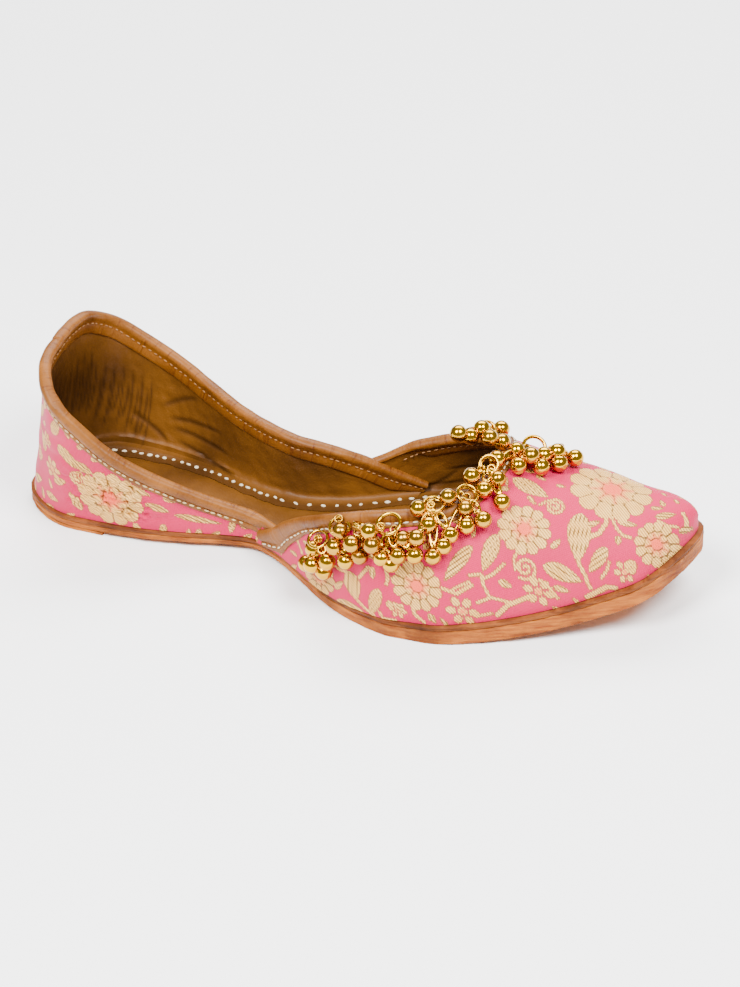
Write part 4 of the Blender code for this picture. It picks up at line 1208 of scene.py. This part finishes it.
# Rings from the near wing over the throat's point to the far side: middle in mm, size, how far they
# lean towards the wearer's outer side, whether the wire is coiled twice, and their bells, each with its
# middle in mm and how dull its gilding is
RINGS = (
    ((0.8, -32.9, 28.4), 1.0, 0.5, False, (
        (-0.8, -33.3, 24.4, 0), (-4.1, -32, 16.8, 0), (5.8, -38.4, 23.5, 0), (3.8, -36.8, 18.1, 0.1),
        (-0.2, -37.4, 20.6, 0),
    )),
    ((9.4, -34.5, 36.1), 1.0, 0.45, False, (
        (9.9, -35.5, 34.8, 0.5), (12.9, -39.5, 26, 0), (8.6, -38.6, 30.4, 0.2),
    )),
    ((17.6, -35.3, 38.0), 0.9, -0.35, True, (
        (15.8, -41.1, 34.6, 0.3), (18.2, -39.9, 29.3, 0.6), (23.1, -41.5, 35.7, 0.5),
    )),
    ((26.9, -34.3, 40.3), 1.2, 0.5, False, (
        (26.2, -40.8, 30.7, 0), (31.9, -40.8, 32.6, 0.2), (32.6, -36.7, 36.8, 0.6),
        (37.7, -40.1, 33.4, 0), (21.6, -39.4, 39.6, 0.1), (29.4, -40.6, 28.6, 0),
    )),
    ((40.2, -25.6, 44.7), 1.0, 0.2, True, (
        (43.4, -37.9, 32.6, 0.2), (40.2, -31.6, 40.5, 0), (35.6, -28.5, 44.4, 0.1),
        (47.7, -31.9, 38.1, 0), (37.6, -37.4, 38.6, 0.4),
    )),
    ((49.7, -18.2, 45.8), 1.05, 0.35, True, (
        (44.1, -22, 46.3, 0.3), (50.5, -23.1, 43.5, 0.5), (52.2, -27.7, 39.8, 0),
        (57.2, -24.8, 41.4, 0.2), (46.4, -35.4, 35.6, 0.1),
    )),
    ((53.6, -5.2, 50.4), 0.95, 0.75, True, (
        (49.2, -11.2, 48.8, 0), (54.4, -14.2, 46.2, 0), (61.1, -15.9, 43.5, 0), (57.6, -8.6, 47.4, 0.3),
    )),
    ((46.9, 14.0, 51.6), 0.95, 0.6, False, (
        (53.5, 10.7, 49.9, 0.1), (50.3, 6.8, 53.3, 0.3), (43.6, 6.5, 52.9, 0.1), (50.5, 20.3, 48.7, 0),
        (40.3, 3.2, 55.6, 0.2), (46.4, 10.4, 54.2, 0),
    )),
    ((63.8, 15.3, 46.7), 1.15, 0.55, False, (
        (54.7, 0.6, 49.4, 0), (62, 1.5, 47.3, 0), (69.1, 5.1, 45.9, 0), (59.2, 9.1, 48.3, 0),
        (65.4, 5.4, 49.6, 0.2),
    )),
    ((70.3, 17.5, 45.5), 0.95, -0.2, True, (
        (77.8, 17, 43.6, 0), (68.3, 11.4, 46.5, 0), (74, 10.4, 44.8, 0.1), (72.4, 13.6, 47.2, 0),
    )),
)
RING_RADIUS, RING_WIRE = 0.0034, 0.00060
COIL_WIRE, COIL_ABOVE, COIL_BELOW = 0.00050, 0.00046, 0.00050
LINK_RADIUS, LINK_WIRE, LINK_STEP = 0.0013, 0.00040, 0.00050
STUB_RADIUS, STUB_HEIGHT = 0.0007, 0.0012
BELL_TOP = BELL_RADIUS + 0.0002


def template(name, *shapes):
    """Join shapes that were just added into one template."""
    clear_selection()
    for shape in shapes:
        shape.select_set(True)
    bpy.context.view_layer.objects.active = shapes[0]
    if len(shapes) > 1:
        bpy.ops.object.join()
    made = bpy.context.object
    made.name = name
    bpy.ops.object.transform_apply(location=True, rotation=True, scale=True)
    return made


def wire_ring(major, minor, segments, location, turn=(0.0, 0.0, 0.0)):
    clear_selection()
    bpy.ops.mesh.primitive_torus_add(major_radius=major, minor_radius=minor, major_segments=segments,
                                     minor_segments=7, location=location, rotation=turn)
    return bpy.context.object


def bell_template():
    """Hollow bell of two pressed halves, with a soft seam round its middle and a stub on top."""
    clear_selection()
    bpy.ops.mesh.primitive_uv_sphere_add(segments=24, ring_count=15, radius=BELL_RADIUS)
    ball = bpy.context.object
    for vertex in ball.data.vertices:
        if abs(vertex.co.z) < BELL_RADIUS * 0.12:
            vertex.co.xy *= 1.015
    clear_selection()
    bpy.ops.mesh.primitive_cylinder_add(vertices=10, radius=STUB_RADIUS, depth=STUB_HEIGHT,
                                        location=(0.0, 0.0, BELL_TOP))
    return template("bell_template", ball, bpy.context.object)


BELL = bell_template()
LINK = template("link_template", *(
    wire_ring(LINK_RADIUS, LINK_WIRE, 14, (0.0, step, 0.0), (math.pi / 2, 0.0, 0.0))
    for step in (LINK_STEP, -LINK_STEP)))
RING = template("ring_template", wire_ring(RING_RADIUS, RING_WIRE, 30, (0.0, 0.0, 0.0)))
COIL = template("coil_template",
                wire_ring(RING_RADIUS, COIL_WIRE, 28, (0.0, 0.0, COIL_ABOVE), (0.05, 0.03, 0.0)),
                wire_ring(RING_RADIUS * 0.96, COIL_WIRE, 28, (0.0, 0.0, -COIL_BELOW), (-0.04, 0.02, 0.0)))
OUTWARDS = Vector((0.27, -0.79, 0.55))      # up and to the wearer's outer side
for number, (middle, size, lean, coiled, bells) in enumerate(RINGS):
    middle = Vector(middle) * MM
    face = Vector((0.25 * (number % 3 - 1), 0.0, 1 - abs(lean))) + OUTWARDS * lean
    face.normalize()
    ring = COIL if coiled else RING
    parts = [(ring, placed(middle, face.orthogonal(), face, (size, size, size)), 0.1)]
    for x, y, z, dull in bells:
        bell = Vector((x, y, z)) * MM
        way = middle - bell
        gap = way.length
        way.normalize()
        side_way = way.cross(face).normalized()
        parts.append((BELL, placed(bell, side_way, way), dull))
        # the link reaches from the bell's top round the ring's wire
        end = max(gap - RING_RADIUS * size + RING_WIRE, BELL_RADIUS + 2 * LINK_RADIUS)
        half = (end - BELL_TOP) / 2
        stretch = (half / LINK_RADIUS, 1.0, 1.0)
        parts.append((LINK, placed(bell + way * (BELL_TOP + half), way, side_way, stretch), dull))
    bunch = copies(f"bell_bunch_{number + 1:02d}", parts, BRASS, "dull")
    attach(bunch, "root")
    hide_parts(f"bells_{number + 1:02d}")
for made in (BELL, LINK, RING, COIL):
    bpy.data.objects.remove(made)


# Floor, lights and camera

AZIMUTH, ELEVATION, ROLL = 19.24, 33.5, -2.0      # in degrees
DISTANCE = 1.100
SENSOR, LENS = 36.0, 114.79918      # in mm, on the picture's longer side
TARGET, TARGET_RIGHT, TARGET_UP = (0.0, 0.0, 0.025), 0.008154, 0.000725


def floor():
    clear_selection()
    bpy.ops.mesh.primitive_plane_add(size=6.0, location=(0.0, 0.0, 0.0))
    made = bpy.context.object
    made.name = "studio_floor"
    made.data.materials.append(new_material("white_paper", Roughness=0.9, Base_Color=WHITE)[0])


def lamp(name, place, target, size, power):
    data = bpy.data.lights.new(name, "AREA")
    data.shape = "ELLIPSE"
    data.size, data.size_y = size
    data.energy = power
    made = bpy.data.objects.new(name, data)
    bpy.context.scene.collection.objects.link(made)
    made.location = place
    made.rotation_euler = (Vector(target) - place).to_track_quat("-Z", "Y").to_euler()


def aim(azimuth, elevation, distance):
    """Place at an azimuth, an elevation and a distance from the shoe."""
    azimuth, elevation = math.radians(azimuth), math.radians(elevation)
    return Vector((math.sin(azimuth) * math.cos(elevation), -math.cos(azimuth) * math.cos(elevation),
                   math.sin(elevation))) * distance


def camera():
    back = aim(AZIMUTH, ELEVATION, 1.0)
    right = Vector((math.cos(math.radians(AZIMUTH)), math.sin(math.radians(AZIMUTH)), 0.0))
    up = back.cross(right)
    c, s = math.cos(math.radians(ROLL)), math.sin(math.radians(ROLL))
    right, up = right * c + up * s, up * c - right * s
    target = Vector(TARGET) + right * TARGET_RIGHT + up * TARGET_UP
    data = bpy.data.cameras.new("camera")
    data.sensor_width = SENSOR
    data.lens = LENS
    data.clip_start, data.clip_end = 0.05, 20.0
    made = bpy.data.objects.new("camera", data)
    bpy.context.scene.collection.objects.link(made)
    turn = Matrix((right, up, back)).transposed().to_4x4()
    made.matrix_world = Matrix.Translation(target + back * DISTANCE) @ turn
    bpy.context.scene.camera = made


floor()
lamp("left_softbox", aim(-22.0, 56.0, 1.2), (0.0, 0.0, 0.03), (0.50, 0.50), 29.0)
lamp("right_softbox", aim(60.0, 56.0, 1.2), (0.0, 0.0, 0.03), (0.50, 0.50), 25.0)
lamp("back_softbox", aim(190.0, 50.0, 1.5), (0.0, 0.3, 0.0), (1.6, 0.8), 42.0)
world = bpy.data.worlds.new("studio")
world.use_nodes = True
world.node_tree.nodes["Background"].inputs["Color"].default_value = WHITE
world.node_tree.nodes["Background"].inputs["Strength"].default_value = 0.40
bpy.context.scene.world = world
camera()

bpy.data.objects.remove(STITCH)
